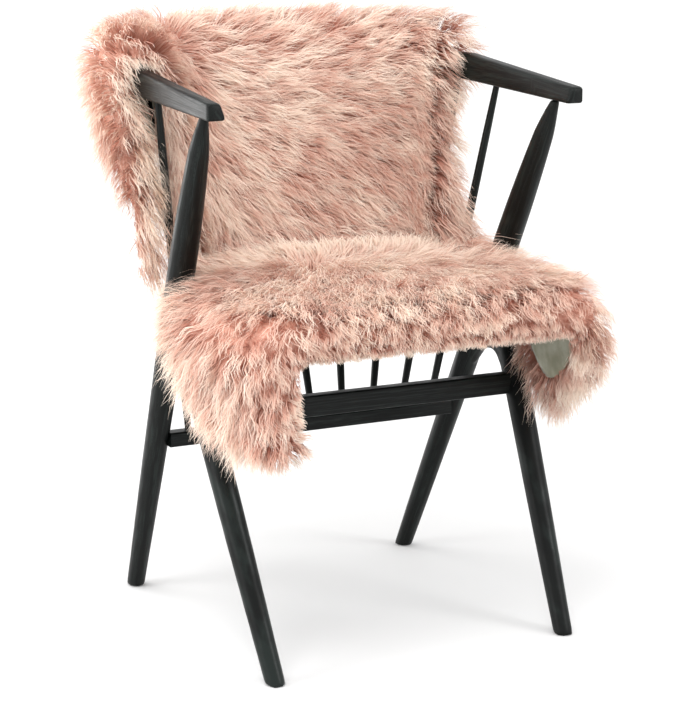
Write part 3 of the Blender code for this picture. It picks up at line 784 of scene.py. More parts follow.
def turned_rod(name, start, end, profile, sides, stations):
    """A turned rod from start up to end, both of its ends cut level."""
    axis = (end - start).normalized()
    across = axis.cross(Vector((0.0, 1.0, 0.0))).normalized()
    other = axis.cross(across)
    shares = sorted(set(np.linspace(0.0, 1.0, stations)) | {share for share, _ in profile})
    radii = smooth_between([[radius] for _, radius in profile], [share for share, _ in profile], shares)
    verts = []
    for share, radius in zip(shares, radii[:, 0]):
        centre = start.lerp(end, share)
        for k in range(sides):
            turn = 2.0 * math.pi * k / sides
            point = centre + (across * math.cos(turn) + other * math.sin(turn)) * radius
            if share in (0.0, 1.0):
                point = point - axis * ((point.z - centre.z) / axis.z)
            verts.append(point)
    return mesh_of(name, verts, ring_faces(len(shares), sides))


def smooth_between(rows, knots, at):
    """Cubic through the rows that never overshoots, sampled at the distances `at`."""
    rows = np.asarray(rows, dtype=float)
    gaps = np.diff(knots)
    slopes = np.diff(rows, axis=0) / gaps.reshape((-1,) + (1,) * (rows.ndim - 1))
    tangents = np.zeros_like(rows)
    tangents[0] = slopes[0]
    tangents[-1] = slopes[-1]
    for k in range(1, len(rows) - 1):
        a = slopes[k - 1]
        b = slopes[k]
        w1 = 2.0 * gaps[k] + gaps[k - 1]
        w2 = gaps[k] + 2.0 * gaps[k - 1]
        safe_a = np.where(np.abs(a) < 1e-9, 1e-9, a)
        safe_b = np.where(np.abs(b) < 1e-9, 1e-9, b)
        mean = (w1 + w2) / (w1 / safe_a + w2 / safe_b)
        tangents[k] = np.where(a * b > 0.0, mean, 0.0)
    result = []
    for value in at:
        k = int(min(len(gaps) - 1, max(0, np.searchsorted(knots, value) - 1)))
        u = (value - knots[k]) / gaps[k]
        h = gaps[k]
        result.append(
            (2 * u**3 - 3 * u**2 + 1) * rows[k]
            + (u**3 - 2 * u**2 + u) * h * tangents[k]
            + (-2 * u**3 + 3 * u**2) * rows[k + 1]
            + (u**3 - u**2) * h * tangents[k + 1]
        )
    return np.array(result)


class Rail:
    """The line of the arms and the bent back rail, seen from above, and the spindle fan."""

    def __init__(self, chair):
        self.chair = chair
        walk = []
        power = 2.0 / BEND_POWER
        for k in range(BEND_STEPS + 1):
            turn = 0.5 * math.pi * k / BEND_STEPS
            x = -chair.arm_half_back * math.sin(turn) ** power
            y = chair.bend_start + (chair.back - chair.bend_start) * math.cos(turn) ** power
            walk.append((x, y))
        walk.append((-chair.arm_half_front, chair.arm_front))
        self.line = np.array(walk)
        steps = np.linalg.norm(np.diff(self.line, axis=0), axis=1)
        self.lengths = np.concatenate(([0.0], np.cumsum(steps)))

    def at(self, length):
        """Point of the line at a distance from the middle of the back, minus to the other side."""
        x = np.interp(abs(length), self.lengths, self.line[:, 0])
        y = np.interp(abs(length), self.lengths, self.line[:, 1])
        return np.array((x if length >= 0.0 else -x, y))

    def arc_at(self, y):
        """Distance along the line from the middle of the back to the place y."""
        return float(np.interp(-y, -self.line[:, 1], self.lengths))

    def place(self, arc):
        """Point and outward direction on the line; arc is signed, minus to the left."""
        step = 0.012
        reach = abs(arc)
        point = self.at(reach)
        tangent = self.at(reach + step) - self.at(reach - step)
        tangent /= np.linalg.norm(tangent)
        outward = np.array((tangent[1], -tangent[0]))
        if arc >= 0.0:
            point[0] = -point[0]
            outward[0] = -outward[0]
        return point, outward

    def arm_share(self, y):
        """How far back along the straight arm a place is, 0 at its front end, 1 from the bend on."""
        share = (y - self.chair.arm_front) / (self.chair.bend_start - self.chair.arm_front)
        return min(1.0, max(0.0, share))

    def top(self, y):
        chair = self.chair
        return chair.arm_top_front + (chair.arm_top_back - chair.arm_top_front) * self.arm_share(y)

    def underside(self, y):
        chair = self.chair
        more = (chair.arm_tall_back - chair.arm_tall_front) * self.arm_share(y)
        return self.top(y) - chair.arm_tall_front - more

    def spindle_arc(self):
        return self.arc_at(self.chair.spindle_reach)

    def spindle_foot(self, arc):
        x = 0.5 * self.chair.spindle_span * arc / self.spindle_arc()
        return np.array((x, self.chair.rear_rail_y))

    def fan(self, arc, height, off):
        """Point on the fan of spindles at a height, moved off it by `off`, + to the outside."""
        top, outward = self.place(arc)
        foot = self.spindle_foot(arc)
        low = self.chair.rear_rail_height + 0.5 * REAR_RAIL_SECTION[1]
        share = min(1.0, (height - low) / (self.underside(self.chair.back) - low))
        if off > 0.0:
            # The outside hangs a little steeper than the spindles lean
            steeper = 0.15
            share += (1.0 - share) * steeper
        plan = foot + (top - foot) * share + outward * off
        return np.array((plan[0], plan[1], height))

    def section(self, point, outward, top, underside):
        """Rounded section of an arm or rail, upright outside and narrower towards the top."""
        half = 0.5 * self.chair.arm_wide_bottom
        tall = top - underside
        corners = ((half, 0.0), (half, tall), (half - self.chair.arm_wide_top, tall), (-half, 0.0))
        flat = round_corners(corners, ARM_ROUNDING)
        o = Vector((outward[0], outward[1], 0.0))
        base = Vector((point[0], point[1], underside))
        return [base + o * across + Vector((0.0, 0.0, up)) for across, up in flat]


def round_corners(corners, radii, steps=4):
    """A polygon with each corner replaced by a short arc."""
    points = []
    count = len(corners)
    for k in range(count):
        corner = Vector(corners[k])
        before = (Vector(corners[k - 1]) - corner).normalized()
        after = (Vector(corners[(k + 1) % count]) - corner).normalized()
        start = corner + before * radii[k]
        end = corner + after * radii[k]
        for i in range(steps + 1):
            t = i / steps
            points.append(start * (1 - t) ** 2 + corner * 2 * t * (1 - t) + end * t**2)
    return points


def back_row(rail, row, shares):
    """One row of the hide along the rail or the spindles."""
    name, height, off, left, right, left_fall, right_fall = row
    points = []
    for share in shares:
        reach = left if share < 0.0 else right
        fall = (left_fall if share < 0.0 else right_fall) * abs(share) ** FALL_POWER
        points.append(rail.fan(share * reach, height - fall, off))
    return points


def seat_row(row, shares, side_bend):
    """One row of the hide across the seat, turned down where it passes the seat's side."""
    name, y, height, sweep, bend_l, bend_r, left, right, lean = row
    points = []
    for share in shares:
        side = -1.0 if share < 0.0 else 1.0
        bend, reach = (bend_l, left) if share < 0.0 else (bend_r, right)
        knee = min(bend, TOP_REACH * reach)
        walk = float(np.interp(abs(share), (0.0, TOP_SHARE, 1.0), (0.0, knee, reach)))
        turn = min(1.0, max(0.0, (walk - bend) / side_bend)) * 0.5 * math.pi
        radius = side_bend / (0.5 * math.pi)
        out = min(walk, bend) + radius * math.sin(turn)
        down = radius * (1.0 - math.cos(turn)) + max(0.0, walk - bend - side_bend)
        forward = sweep * abs(share) ** 2.0 + down * lean
        points.append((side * out, y - forward, height - down))
    return points


def unit(vectors):
    """The same directions with a length of one."""
    return vectors / np.maximum(1e-12, np.linalg.norm(vectors, axis=-1, keepdims=True))


class Skin:
    """The hide as a fine grid of points from the tail to the hem, with its directions."""

    def __init__(self, chair, sizes):
        rail = Rail(chair)
        self.shares = np.linspace(-1.0, 1.0, sizes.columns + 1)
        rows = [back_row(rail, row, self.shares) for row in BACK_ROWS]
        rows += [seat_row(row, self.shares, sizes.side_bend) for row in SEAT_ROWS]
        rows = np.array(rows)
        spine = rows[:, sizes.columns // 2]
        steps = np.linalg.norm(np.diff(spine, axis=0), axis=1)
        self.knots = np.concatenate(([0.0], np.cumsum(steps)))
        samples = []
        for k in range(len(steps)):
            parts = max(1, round(steps[k] / sizes.grid_step))
            samples.extend(self.knots[k] + steps[k] * i / parts for i in range(parts))
        samples.append(self.knots[-1])
        self.walk = np.array(samples)
        self.grid = smooth_between(rows, self.knots, samples) + np.array(chair.feet_middle)
        along = np.gradient(self.grid, axis=0)
        across = np.gradient(self.grid, axis=1)
        normals = unit(np.cross(along, across))
        for _ in range(3):
            padded = np.pad(normals, ((1, 1), (1, 1), (0, 0)), mode="edge")
            total = 2.0 * normals + padded[2:, 1:-1] + padded[:-2, 1:-1]
            normals = unit(total + padded[1:-1, 2:] + padded[1:-1, :-2])
        self.normals = normals
        self.along = unit(along)
        self.across = unit(across)
        self.names = [row[0] for row in BACK_ROWS + SEAT_ROWS]
        row_gaps = np.linalg.norm(np.diff(self.grid, axis=0), axis=2)
        column_gaps = np.linalg.norm(np.diff(self.grid, axis=1), axis=2)
        self.from_tail = np.vstack((np.zeros(row_gaps.shape[1]), np.cumsum(row_gaps, axis=0)))
        self.from_hem = self.from_tail[-1] - self.from_tail
        self.from_left = np.hstack((np.zeros((len(column_gaps), 1)), np.cumsum(column_gaps, axis=1)))
        self.from_right = self.from_left[:, -1:] - self.from_left
        edges = (self.from_tail, self.from_hem, self.from_left, self.from_right)
        self.to_rim = np.minimum.reduce(edges)

    def cell_areas(self):
        a = self.grid[1:, 1:] - self.grid[:-1, :-1]
        b = self.grid[1:, :-1] - self.grid[:-1, 1:]
        return 0.5 * np.linalg.norm(np.cross(a, b), axis=2)

    def sample(self, field, rows, columns):
        """A per-point field read between the grid's points."""
        i = np.clip(rows.astype(int), 0, field.shape[0] - 2)
        j = np.clip(columns.astype(int), 0, field.shape[1] - 2)
        u = rows - i
        v = columns - j
        if field.ndim == 3:
            u = u[:, None]
            v = v[:, None]
        top = field[i, j] * (1 - v) + field[i, j + 1] * v
        bottom = field[i + 1, j] * (1 - v) + field[i + 1, j + 1] * v
        return top * (1 - u) + bottom * u

    def read_table(self, table, walk):
        """The columns of a table with a row for each row of the hide, read at distances."""
        columns = table_values(table).T
        return np.stack([np.interp(walk, self.knots, column) for column in columns], axis=1)

    def slab(self, name, low, high):
        """A closed sheet between two heights above the hide's back."""
        rows, columns = self.grid.shape[:2]
        bottom = self.grid + self.normals * low[..., None]
        top = self.grid + self.normals * high[..., None]
        verts = np.concatenate((bottom.reshape(-1, 3), top.reshape(-1, 3)))
        count = rows * columns
        faces = []
        for i in range(rows - 1):
            for j in range(columns - 1):
                a = i * columns + j
                b, c, d = a + 1, a + columns + 1, a + columns
                faces.append((a, b, c, d))
                faces.append((count + a, count + d, count + c, count + b))
        rim = [i * columns for i in range(rows)]
        rim += [(rows - 1) * columns + j for j in range(1, columns)]
        rim += [i * columns + columns - 1 for i in range(rows - 2, -1, -1)]
        rim += list(range(columns - 2, 0, -1))
        for k, a in enumerate(rim):
            b = rim[(k + 1) % len(rim)]
            faces.append((a, b, count + b, count + a))
        return mesh_of(name, verts, faces)


def rim_rise(distance, sizes):
    """How far the pile has risen at a distance from the hide's rim, 0 to 1."""
    return np.sqrt(np.clip((distance - RIM_START) / sizes.rim_width, 0.0, 1.0))


def read_places(skin, values, walk, share):
    """Values given for each row of the hide at the seven places, read between them."""
    place = np.interp(share, WAY_PLACES, np.arange(len(WAY_PLACES)))
    left = np.clip(place.astype(int), 0, len(WAY_PLACES) - 2)
    mix = place - left
    at_row = np.stack([np.interp(walk, skin.knots, column) for column in values.T], axis=1)
    index = np.arange(len(walk))
    return at_row[index, left] * (1 - mix) + at_row[index, left + 1] * mix


def table_values(table):
    """The numbers of a table whose rows start with a name."""
    return np.array([row[1:] for row in table], dtype=float)


def field_locks(skin, sizes, in_rows, in_columns, rng):
    """Places of the locks that stand on the hide, evenly spread over some of its cells."""
    density = skin.read_table(WOOL_ROWS, skin.walk[:-1])[:, 4:]
    expected = skin.cell_areas() / sizes.clump_spacing**2 * density
    expected = expected * in_rows[:, None] * in_columns[None, :]
    counts = np.floor(expected + rng.random(expected.shape)).astype(int)
    rows, columns = np.nonzero(counts)
    repeats = counts[rows, columns]
    rows = np.repeat(rows, repeats) + rng.random(repeats.sum())
    columns = np.repeat(columns, repeats) + rng.random(repeats.sum())
    return rows, columns


def rim_locks(skin, sizes, in_rows, in_columns, rng):
    """Places of the locks along the hide's edges, with each one's length and turn."""
    places = []
    last_row = len(skin.walk) - 1
    last_column = len(skin.shares) - 1
    table = skin.read_table(RIM_ROWS, skin.walk)
    for column, first in ((0, 0), (last_column, 3)):
        if not in_columns[min(column, last_column - 1)]:
            continue
        for i in np.flatnonzero(in_rows):
            gap = np.linalg.norm(skin.grid[i + 1, column] - skin.grid[i, column])
            length, turn, density = table[i, first:first + 3]
            for _ in range(int(density * gap / sizes.rim_spacing + rng.random())):
                places.append((i + rng.random(), column, length, turn))
    for row, (length, turn) in ((0, TAIL_RIM), (last_row, HEM_RIM)):
        if not in_rows[min(row, last_row - 1)]:
            continue
        for j in np.flatnonzero(in_columns):
            gap = np.linalg.norm(skin.grid[row, j + 1] - skin.grid[row, j])
            for _ in range(int(gap / sizes.rim_spacing + rng.random())):
                places.append((row, j + rng.random(), length, turn))
    return np.array(places).reshape(-1, 4)


def lock_paths(skin, sizes, rows, columns, rim, rng, tree):
    """Guide line and settings of each lock; rim holds the rim locks' rows of places."""
    field = len(rows)
    rows = np.concatenate((rows, rim[:, 0]))
    columns = np.concatenate((columns, rim[:, 1]))
    count = len(rows)
    at_rim = np.arange(count) >= field
    walk = np.interp(rows, np.arange(len(skin.walk)), skin.walk)
    share = np.interp(columns, np.arange(len(skin.shares)), skin.shares)
    normal = unit(skin.sample(skin.normals, rows, columns))
    along = unit(skin.sample(skin.along, rows, columns))
    along = unit(along - normal * np.sum(along * normal, axis=1, keepdims=True))
    across = np.cross(normal, along)
    across *= np.sign(np.sum(across * skin.sample(skin.across, rows, columns), axis=1, keepdims=True))
    pile, length, lift, crimp, _ = skin.read_table(WOOL_ROWS, walk).T
    pale = read_places(skin, table_values(WOOL_PALENESS), walk, share)
    # Roots stand inside the dense wool, and at the rim anywhere in its thickness
    swell = rim_rise(skin.sample(skin.to_rim, rows, columns), sizes)
    start = sizes.thickness + sizes.root_height * pile * swell
    start[field:] = sizes.thickness + RIM_ROOTS * pile[field:] * rng.random(len(rim)) ** 2
    root = skin.sample(skin.grid, rows, columns) + normal * start[:, None]
    # The way the wool points, turned outwards near the rim
    angles = np.radians(table_values(WOOL_WAYS))
    east = read_places(skin, np.sin(angles), walk, share)
    south = read_places(skin, np.cos(angles), walk, share)
    way = np.arctan2(east, south) + rng.normal(0.0, LOCK_WAY_SPREAD, count)
    flow = along * np.cos(way)[:, None] + across * np.sin(way)[:, None]
    outward = np.zeros_like(flow)
    for distance, direction in (
        (skin.from_left, -across), (skin.from_right, across),
        (skin.from_tail, -along), (skin.from_hem, along),
    ):
        near = np.exp(-skin.sample(distance, rows, columns) / sizes.rim_pull)
        outward += direction * near[:, None]
    down = np.array((0.0, 0.0, -1.0))
    flow = unit(flow + RIM_OUTWARD * outward)
    by_way, by_edge, by_fall = RIM_FLOW_MIX
    flow[field:] = unit(by_way * flow[field:] + by_edge * unit(outward[field:]) + by_fall * down)
    # The way the roots stand: off the hide, or out of its edge at the rim
    turn = np.zeros(count)
    turn[field:] = np.radians(rim[:, 3]) + rng.normal(0.0, RIM_TURN_SPREAD, len(rim))
    rim_stand = unit(outward) * np.cos(turn)[:, None] + normal * np.sin(turn)[:, None]
    stand = np.where(at_rim[:, None], rim_stand, normal)
    length[field:] = rim[:, 2]
    length = length * rng.uniform(*LOCK_LENGTHS, count)
    lift = np.clip(lift + rng.normal(0.0, LOCK_LIFT_SPREAD, count), *LOCK_LIFTS)
    lift[field:] *= RIM_LIFT
    points = [root]
    for k in range(LOCK_STEPS):
        s = (k + 0.5) / LOCK_STEPS
        rise = lift * (1.0 - s) ** LIFT_FADE
        step = stand * rise[:, None] + flow * (1.0 - FLOW_LOSS * rise)[:, None] + down * (sizes.droop * s)
        points.append(points[-1] + unit(step) * (length / LOCK_STEPS)[:, None])
    paths = np.stack(points, axis=1)
    # Locks that would sink into the hide or the dense wool are lifted out
    surface = skin.grid.reshape(-1, 3)
    surface_normals = skin.normals.reshape(-1, 3)
    flat = paths[:field, 1:].reshape(-1, 3)
    nearest = np.array([tree.find(point)[1] for point in flat], dtype=int)
    height = np.sum((flat - surface[nearest]) * surface_normals[nearest], axis=1)
    least = np.outer((pile * swell)[:field], np.linspace(*LOCK_HEIGHTS, LOCK_STEPS)).ravel()
    inside = skin.to_rim.reshape(-1)[nearest] > EDGE_FREE
    lift_by = np.where(inside, np.maximum(0.0, least - height), 0.0)
    flat = flat + surface_normals[nearest] * lift_by[:, None]
    paths[:field, 1:] = flat.reshape(field, LOCK_STEPS, 3)
    return paths, stand, length, crimp, pale


def comb_wool(skin, sizes, rows, columns, rim, per, rng, tree):
    """Corners, faces, shading directions and colour coordinates of the strands of some locks."""
    paths, stand, length, crimp, pale = lock_paths(skin, sizes, rows, columns, rim, rng, tree)
    locks, points = paths.shape[:2]
    lock = np.repeat(np.arange(locks), per)
    total = len(lock)
    index = np.arange(total)[:, None]
    share = np.linspace(0.0, 1.0, points)
    walk = length[lock][:, None] * share
    # Each strand follows its lock's guide line for its own share of it
    reach = rng.uniform(*STRAND_REACHES, total)
    at = share * reach[:, None] * (points - 1)
    low = np.minimum(at.astype(int), points - 2)
    mix = (at - low)[..., None]
    guide = paths[lock]
    line = guide[index, low] * (1 - mix) + guide[index, low + 1] * mix
    tangent = unit(np.gradient(line, axis=1))
    out = np.broadcast_to(stand[lock][:, None, :], line.shape)
    side = unit(np.cross(tangent, out) + 1e-6)
    up = np.cross(side, tangent)
    # It starts in its place in the lock and gathers towards the tip, unless it is a loose one
    turn = rng.uniform(0.0, 2.0 * math.pi, total)
    spread = LOCK_RADIUS * sizes.clump_spacing * np.sqrt(rng.random(total))
    tightness = rng.uniform(*TIGHTNESS, locks)[lock]
    tightness = tightness * np.where(rng.random(total) < LOOSE_SHARE, 0.0, 1.0)
    gather = 1.0 - tightness[:, None] * share**GATHER_POWER
    offset = side * (np.cos(turn) * spread)[:, None, None]
    offset = offset + up * (np.sin(turn) * LOCK_FLATNESS * spread)[:, None, None]
    line = line + offset * gather[..., None]
    # It strays from the lock in a bend, and waves with the crimp
    stray = (length[lock][:, None] * share**STRAY_POWER)[..., None]
    for direction, amount in zip((side, up), STRAY_SPREADS):
        line = line + direction * stray * rng.normal(0.0, amount, total)[:, None, None]
    phase = rng.uniform(0.0, 2.0 * math.pi, locks)[lock] + rng.normal(0.0, CRIMP_PHASE_SPREAD, total)
    wave = 2.0 * math.pi * walk / sizes.crimp_wave + phase[:, None]
    swing = (crimp[lock] * rng.uniform(*CRIMP_SWINGS, total))[:, None]
    swing = swing * np.minimum(1.0, share * CRIMP_RISE)
    line = line + side * (np.sin(wave) * swing)[..., None]
    line = line + up * (np.cos(wave) * LOCK_FLATNESS * swing)[..., None]
    # It is a flat ribbon that faces outwards, rolled a little, and tapers
    tangent = unit(np.gradient(line, axis=1))
    roll = rng.uniform(-STRAND_ROLL, STRAND_ROLL, total)[:, None, None]
    facing = unit(out - tangent * np.sum(out * tangent, axis=2, keepdims=True))
    facing = facing * np.cos(roll) + np.cross(tangent, facing) * np.sin(roll)
    width = sizes.strand_width * rng.uniform(*STRAND_WIDTHS, total)
    width = width[:, None] * np.interp(share, *STRAND_TAPER)
    half = np.cross(tangent, facing) * (0.5 * width)[..., None]
    corners = np.stack((line - half, line + half), axis=2).reshape(-1, 3)
    by_face, by_side, by_stand = SHADE_MIX
    shade = unit(by_face * facing + by_side * unit(offset + 1e-9) + by_stand * out)
    shade = np.repeat(shade[:, :, None, :], 2, axis=2).reshape(-1, 3)
    strand_pale = pale[lock] + rng.normal(0.0, LOCK_PALE_SPREAD, locks)[lock]
    strand_pale = np.clip(strand_pale + rng.normal(0.0, STRAND_PALE_SPREAD, total), 0, PALEST)
    tone = flat_pairs(strand_pale[:, None, None], share[None, :, None] * [1.0, 1.0])
    sideways = np.array((-0.5, 0.5)) * width[..., None]
    fibre = flat_pairs(sideways + (FIBRE_SHIFT * index)[..., None], walk[..., None])
    first = index * points * 2 + np.arange(points - 1) * 2
    quads = np.stack((first, first + 1, first + 3, first + 2), axis=-1).reshape(-1, 4)
    return corners, quads, shade, tone, fibre


def flat_pairs(u, v):
    """Two arrays of values, one for each corner of each strand, as rows of coordinates."""
    return np.stack(np.broadcast_arrays(u, v), axis=-1).reshape(-1, 2)


def mesh_of_strands(name, corners, quads, shade, tone, fibre):
    """A mesh of ribbons, shaded by directions of its own and with its two sets of coordinates."""
    mesh = bpy.data.meshes.new(name)
    mesh.vertices.add(len(corners))
    mesh.vertices.foreach_set("co", corners.ravel())
    mesh.loops.add(quads.size)
    mesh.loops.foreach_set("vertex_index", quads.ravel().astype(np.int32))
    mesh.polygons.add(len(quads))
    mesh.polygons.foreach_set("loop_start", (np.arange(len(quads)) * 4).astype(np.int32))
    for layer_name, values in (("tone", tone), ("fibre", fibre)):
        layer = mesh.uv_layers.new(name=layer_name)
        layer.data.foreach_set("uv", values[quads.ravel()].ravel())
    mesh.update(calc_edges=True)
    mesh.normals_split_custom_set_from_vertices(shade)
    return mesh


class SHEEPSKIN_OT_add_camera(bpy.types.Operator):
    """Add the camera at the angle from which the chair is seen"""

    bl_idname = "sheepskin.add_camera"
    bl_label = "Add camera"

    def execute(self, context):
        studio = context.scene.studio_settings
        data = bpy.data.cameras.new("camera")
        data.lens = studio.lens
        data.sensor_width = 36.0
        data.dof.use_dof = False
        camera = bpy.data.objects.new("camera", data)
        context.scene.collection.objects.link(camera)
        camera.location = studio.camera_place
        a, e = studio.azimuth, studio.elevation
        back = Vector((math.sin(a) * math.cos(e), -math.cos(a) * math.cos(e), math.sin(e)))
        camera.rotation_euler = back.to_track_quat("Z", "Y").to_euler()
        context.scene.camera = camera
        return {"FINISHED"}


class SHEEPSKIN_OT_add_studio(bpy.types.Operator):
    """Add the pale floor, the white surround and the soft lights"""

    bl_idname = "sheepskin.add_studio"
    bl_label = "Add studio"

    def execute(self, context):
        studio = context.scene.studio_settings
        half = 30.0
        corners = [(x * half, y * half, 0.0) for x, y in ((-1, -1), (1, -1), (1, 1), (-1, 1))]
        floor_mesh = mesh_of("floor", corners, [(0, 1, 2, 3)])
        floor_mesh.materials.append(finish(matte_floor))
        floor = bpy.data.objects.new("floor", floor_mesh)
        context.scene.collection.objects.link(floor)
        gap_under_feet = 0.0005
        floor.location.z = CAD_LOW.z - gap_under_feet
        world = bpy.data.worlds.new("white_surround")
        world.use_nodes = True
        sky = world.node_tree.nodes["Background"]
        sky.inputs["Color"].default_value = (1.0, 1.0, 1.0, 1.0)
        sky.inputs["Strength"].default_value = studio.sky
        context.scene.world = world
        context.scene.view_settings.view_transform = "Standard"
        seat_height = 0.4
        target = Vector((0.0, 0.0, seat_height))
        lights = (
            # name, place, power, size
            ("key_softbox", (-1.2, -1.1, 3.2), studio.key, 1.8),
            ("fill_softbox", (2.0, -2.4, 2.0), studio.fill, 1.2),
            ("edge_softbox", (-1.45, 2.6, 0.7), studio.edge, 1.9),
            ("side_softbox", (-2.9, 0.1, 1.1), studio.side, 1.4),
        )
        for name, place, power, size in lights:
            data = bpy.data.lights.new(name, "AREA")
            data.energy = power
            data.size = size
            lamp = bpy.data.objects.new(name, data)
            context.scene.collection.objects.link(lamp)
            lamp.location = place
            lamp.rotation_euler = (lamp.location - target).to_track_quat("Z", "Y").to_euler()
        return {"FINISHED"}


def chair_point(chair, place, side):
    """A place given from the middle of the feet for the right side, mirrored for the left."""
    return Vector((place[0] * side, place[1], place[2])) + Vector(chair.feet_middle)


def leg_joint(chair):
    """Where the front leg meets the rear leg, from the middle of the feet, on the right side."""
    foot = Vector(chair.foot_rear)
    axis = Vector(chair.post_top) - foot
    return foot + axis * (chair.leg_join_height / axis.z)


def leg_web(join, foot_rear, foot_front, chair):
    """The wood between the two legs under their joint, hollowed to a round arch."""
    to_rear = (foot_rear - join).normalized()
    to_front = (foot_front - join).normalized()
    down = (to_rear + to_front).normalized()
    across = (to_front - to_rear).normalized()
    through = down.cross(across)
    half_angle = down.angle(to_rear)
    centre = join + down * ((LEG_RADIUS_AT_JOINT + chair.arch_radius) / math.sin(half_angle))
    reach = 0.5 * math.pi - half_angle
    loop = list(WEB_SECTION) + [(share, -thick) for share, thick in reversed(WEB_SECTION)]
    verts = []
    for k in range(WEB_STEPS + 1):
        turn = reach * (2.0 * k / WEB_STEPS - 1.0)
        edge = centre - (down * math.cos(turn) - across * math.sin(turn)) * chair.arch_radius
        for share, thick in loop:
            verts.append(join.lerp(edge, share) + through * (0.5 * chair.web_thickness * thick))
    return mesh_of("leg_web", verts, ring_faces(WEB_STEPS + 1, len(loop)))


def fuse(name, meshes, voxel):
    """One smooth skin round several overlapping solids, as wood glued up and sanded."""
    verts, faces = [], []
    for mesh in meshes:
        start = len(verts)
        verts.extend(v.co.copy() for v in mesh.vertices)
        faces.extend(tuple(start + i for i in face.vertices) for face in mesh.polygons)
        bpy.data.meshes.remove(mesh)
    whole = bpy.data.objects.new(name, mesh_of(name, verts, faces))
    bpy.context.scene.collection.objects.link(whole)
    remesh = whole.modifiers.new("Fuse", "REMESH")
    remesh.mode = "VOXEL"
    remesh.voxel_size = voxel
    smooth = whole.modifiers.new("Sand", "SMOOTH")
    smooth.factor = 0.5
    smooth.iterations = 6
    graph = bpy.context.evaluated_depsgraph_get()
    fused = bpy.data.meshes.new_from_object(whole.evaluated_get(graph))
    bpy.data.objects.remove(whole, do_unlink=True)
    fused.name = name
    fused.shade_smooth()
    return fused


class SHEEPSKIN_OT_add_legs(bpy.types.Operator):
    """Add the two pairs of legs, each front leg blended into its rear leg"""

    bl_idname = "sheepskin.add_legs"
    bl_label = "Add legs"

    def execute(self, context):
        chair = context.scene.chair_sizes
        rail = Rail(chair)
        for label, side in (("left", -1.0), ("right", 1.0)):
            foot_rear = chair_point(chair, chair.foot_rear, side)
            foot_front = chair_point(chair, chair.foot_front, side)
            join = chair_point(chair, leg_joint(chair), side)
            neck = chair_point(chair, chair.post_top, side)
            neck.z = rail.underside(chair.post_top[1]) - GLUE_GAP
            rear = turned_rod("rear", foot_rear, neck, REAR_LEG_PROFILE, LEG_SIDES, stations=48)
            front = turned_rod("front", foot_front, join, FRONT_LEG_PROFILE, LEG_SIDES, stations=24)
            web = leg_web(join, foot_rear, foot_front, chair)
            mesh = fuse("legs_" + label, (rear, front, web), LEG_VOXEL)
            nodes = ("rear_leg_" + label, "front_leg_" + label)
            new_wood("legs_" + label, mesh, foot_rear, neck, nodes, crisp=False)
        return {"FINISHED"}


def add_bar(name, centre, size):
    """Put in a straight bar with rounded edges, its grain lengthwise."""
    hx, hy, hz = (0.5 * s for s in size)
    corners = ((-hy, -hz), (hy, -hz), (hy, hz), (-hy, hz))
    section = round_corners(corners, (BAR_EDGE,) * 4)
    rings = 9
    verts = [centre + Vector((x, y, z)) for x in np.linspace(-hx, hx, rings) for y, z in section]
    mesh = mesh_of(name, verts, ring_faces(rings, len(section)))
    half = Vector((hx, 0.0, 0.0))
    new_wood(name, mesh, centre - half, centre + half, (name,))


class SHEEPSKIN_OT_add_rails(bpy.types.Operator):
    """Add the front rail and the rear rail between the legs"""

    bl_idname = "sheepskin.add_rails"
    bl_label = "Add rails"

    def execute(self, context):
        chair = context.scene.chair_sizes
        middle = Vector(chair.feet_middle)
        join = leg_joint(chair)
        front = Vector(chair.foot_front).lerp(join, chair.front_rail_height / join.z)
        rear = Vector(chair.foot_rear).lerp(join, chair.rear_rail_height / join.z)
        rear.y = chair.rear_rail_y
        for name, end, section in (
            ("front_rail", front, FRONT_RAIL_SECTION), ("rear_rail", rear, REAR_RAIL_SECTION)
        ):
            centre = Vector((0.0, end.y, end.z)) + middle
            add_bar(name, centre, (2.0 * end.x - RAIL_SHORT,) + section)
        return {"FINISHED"}


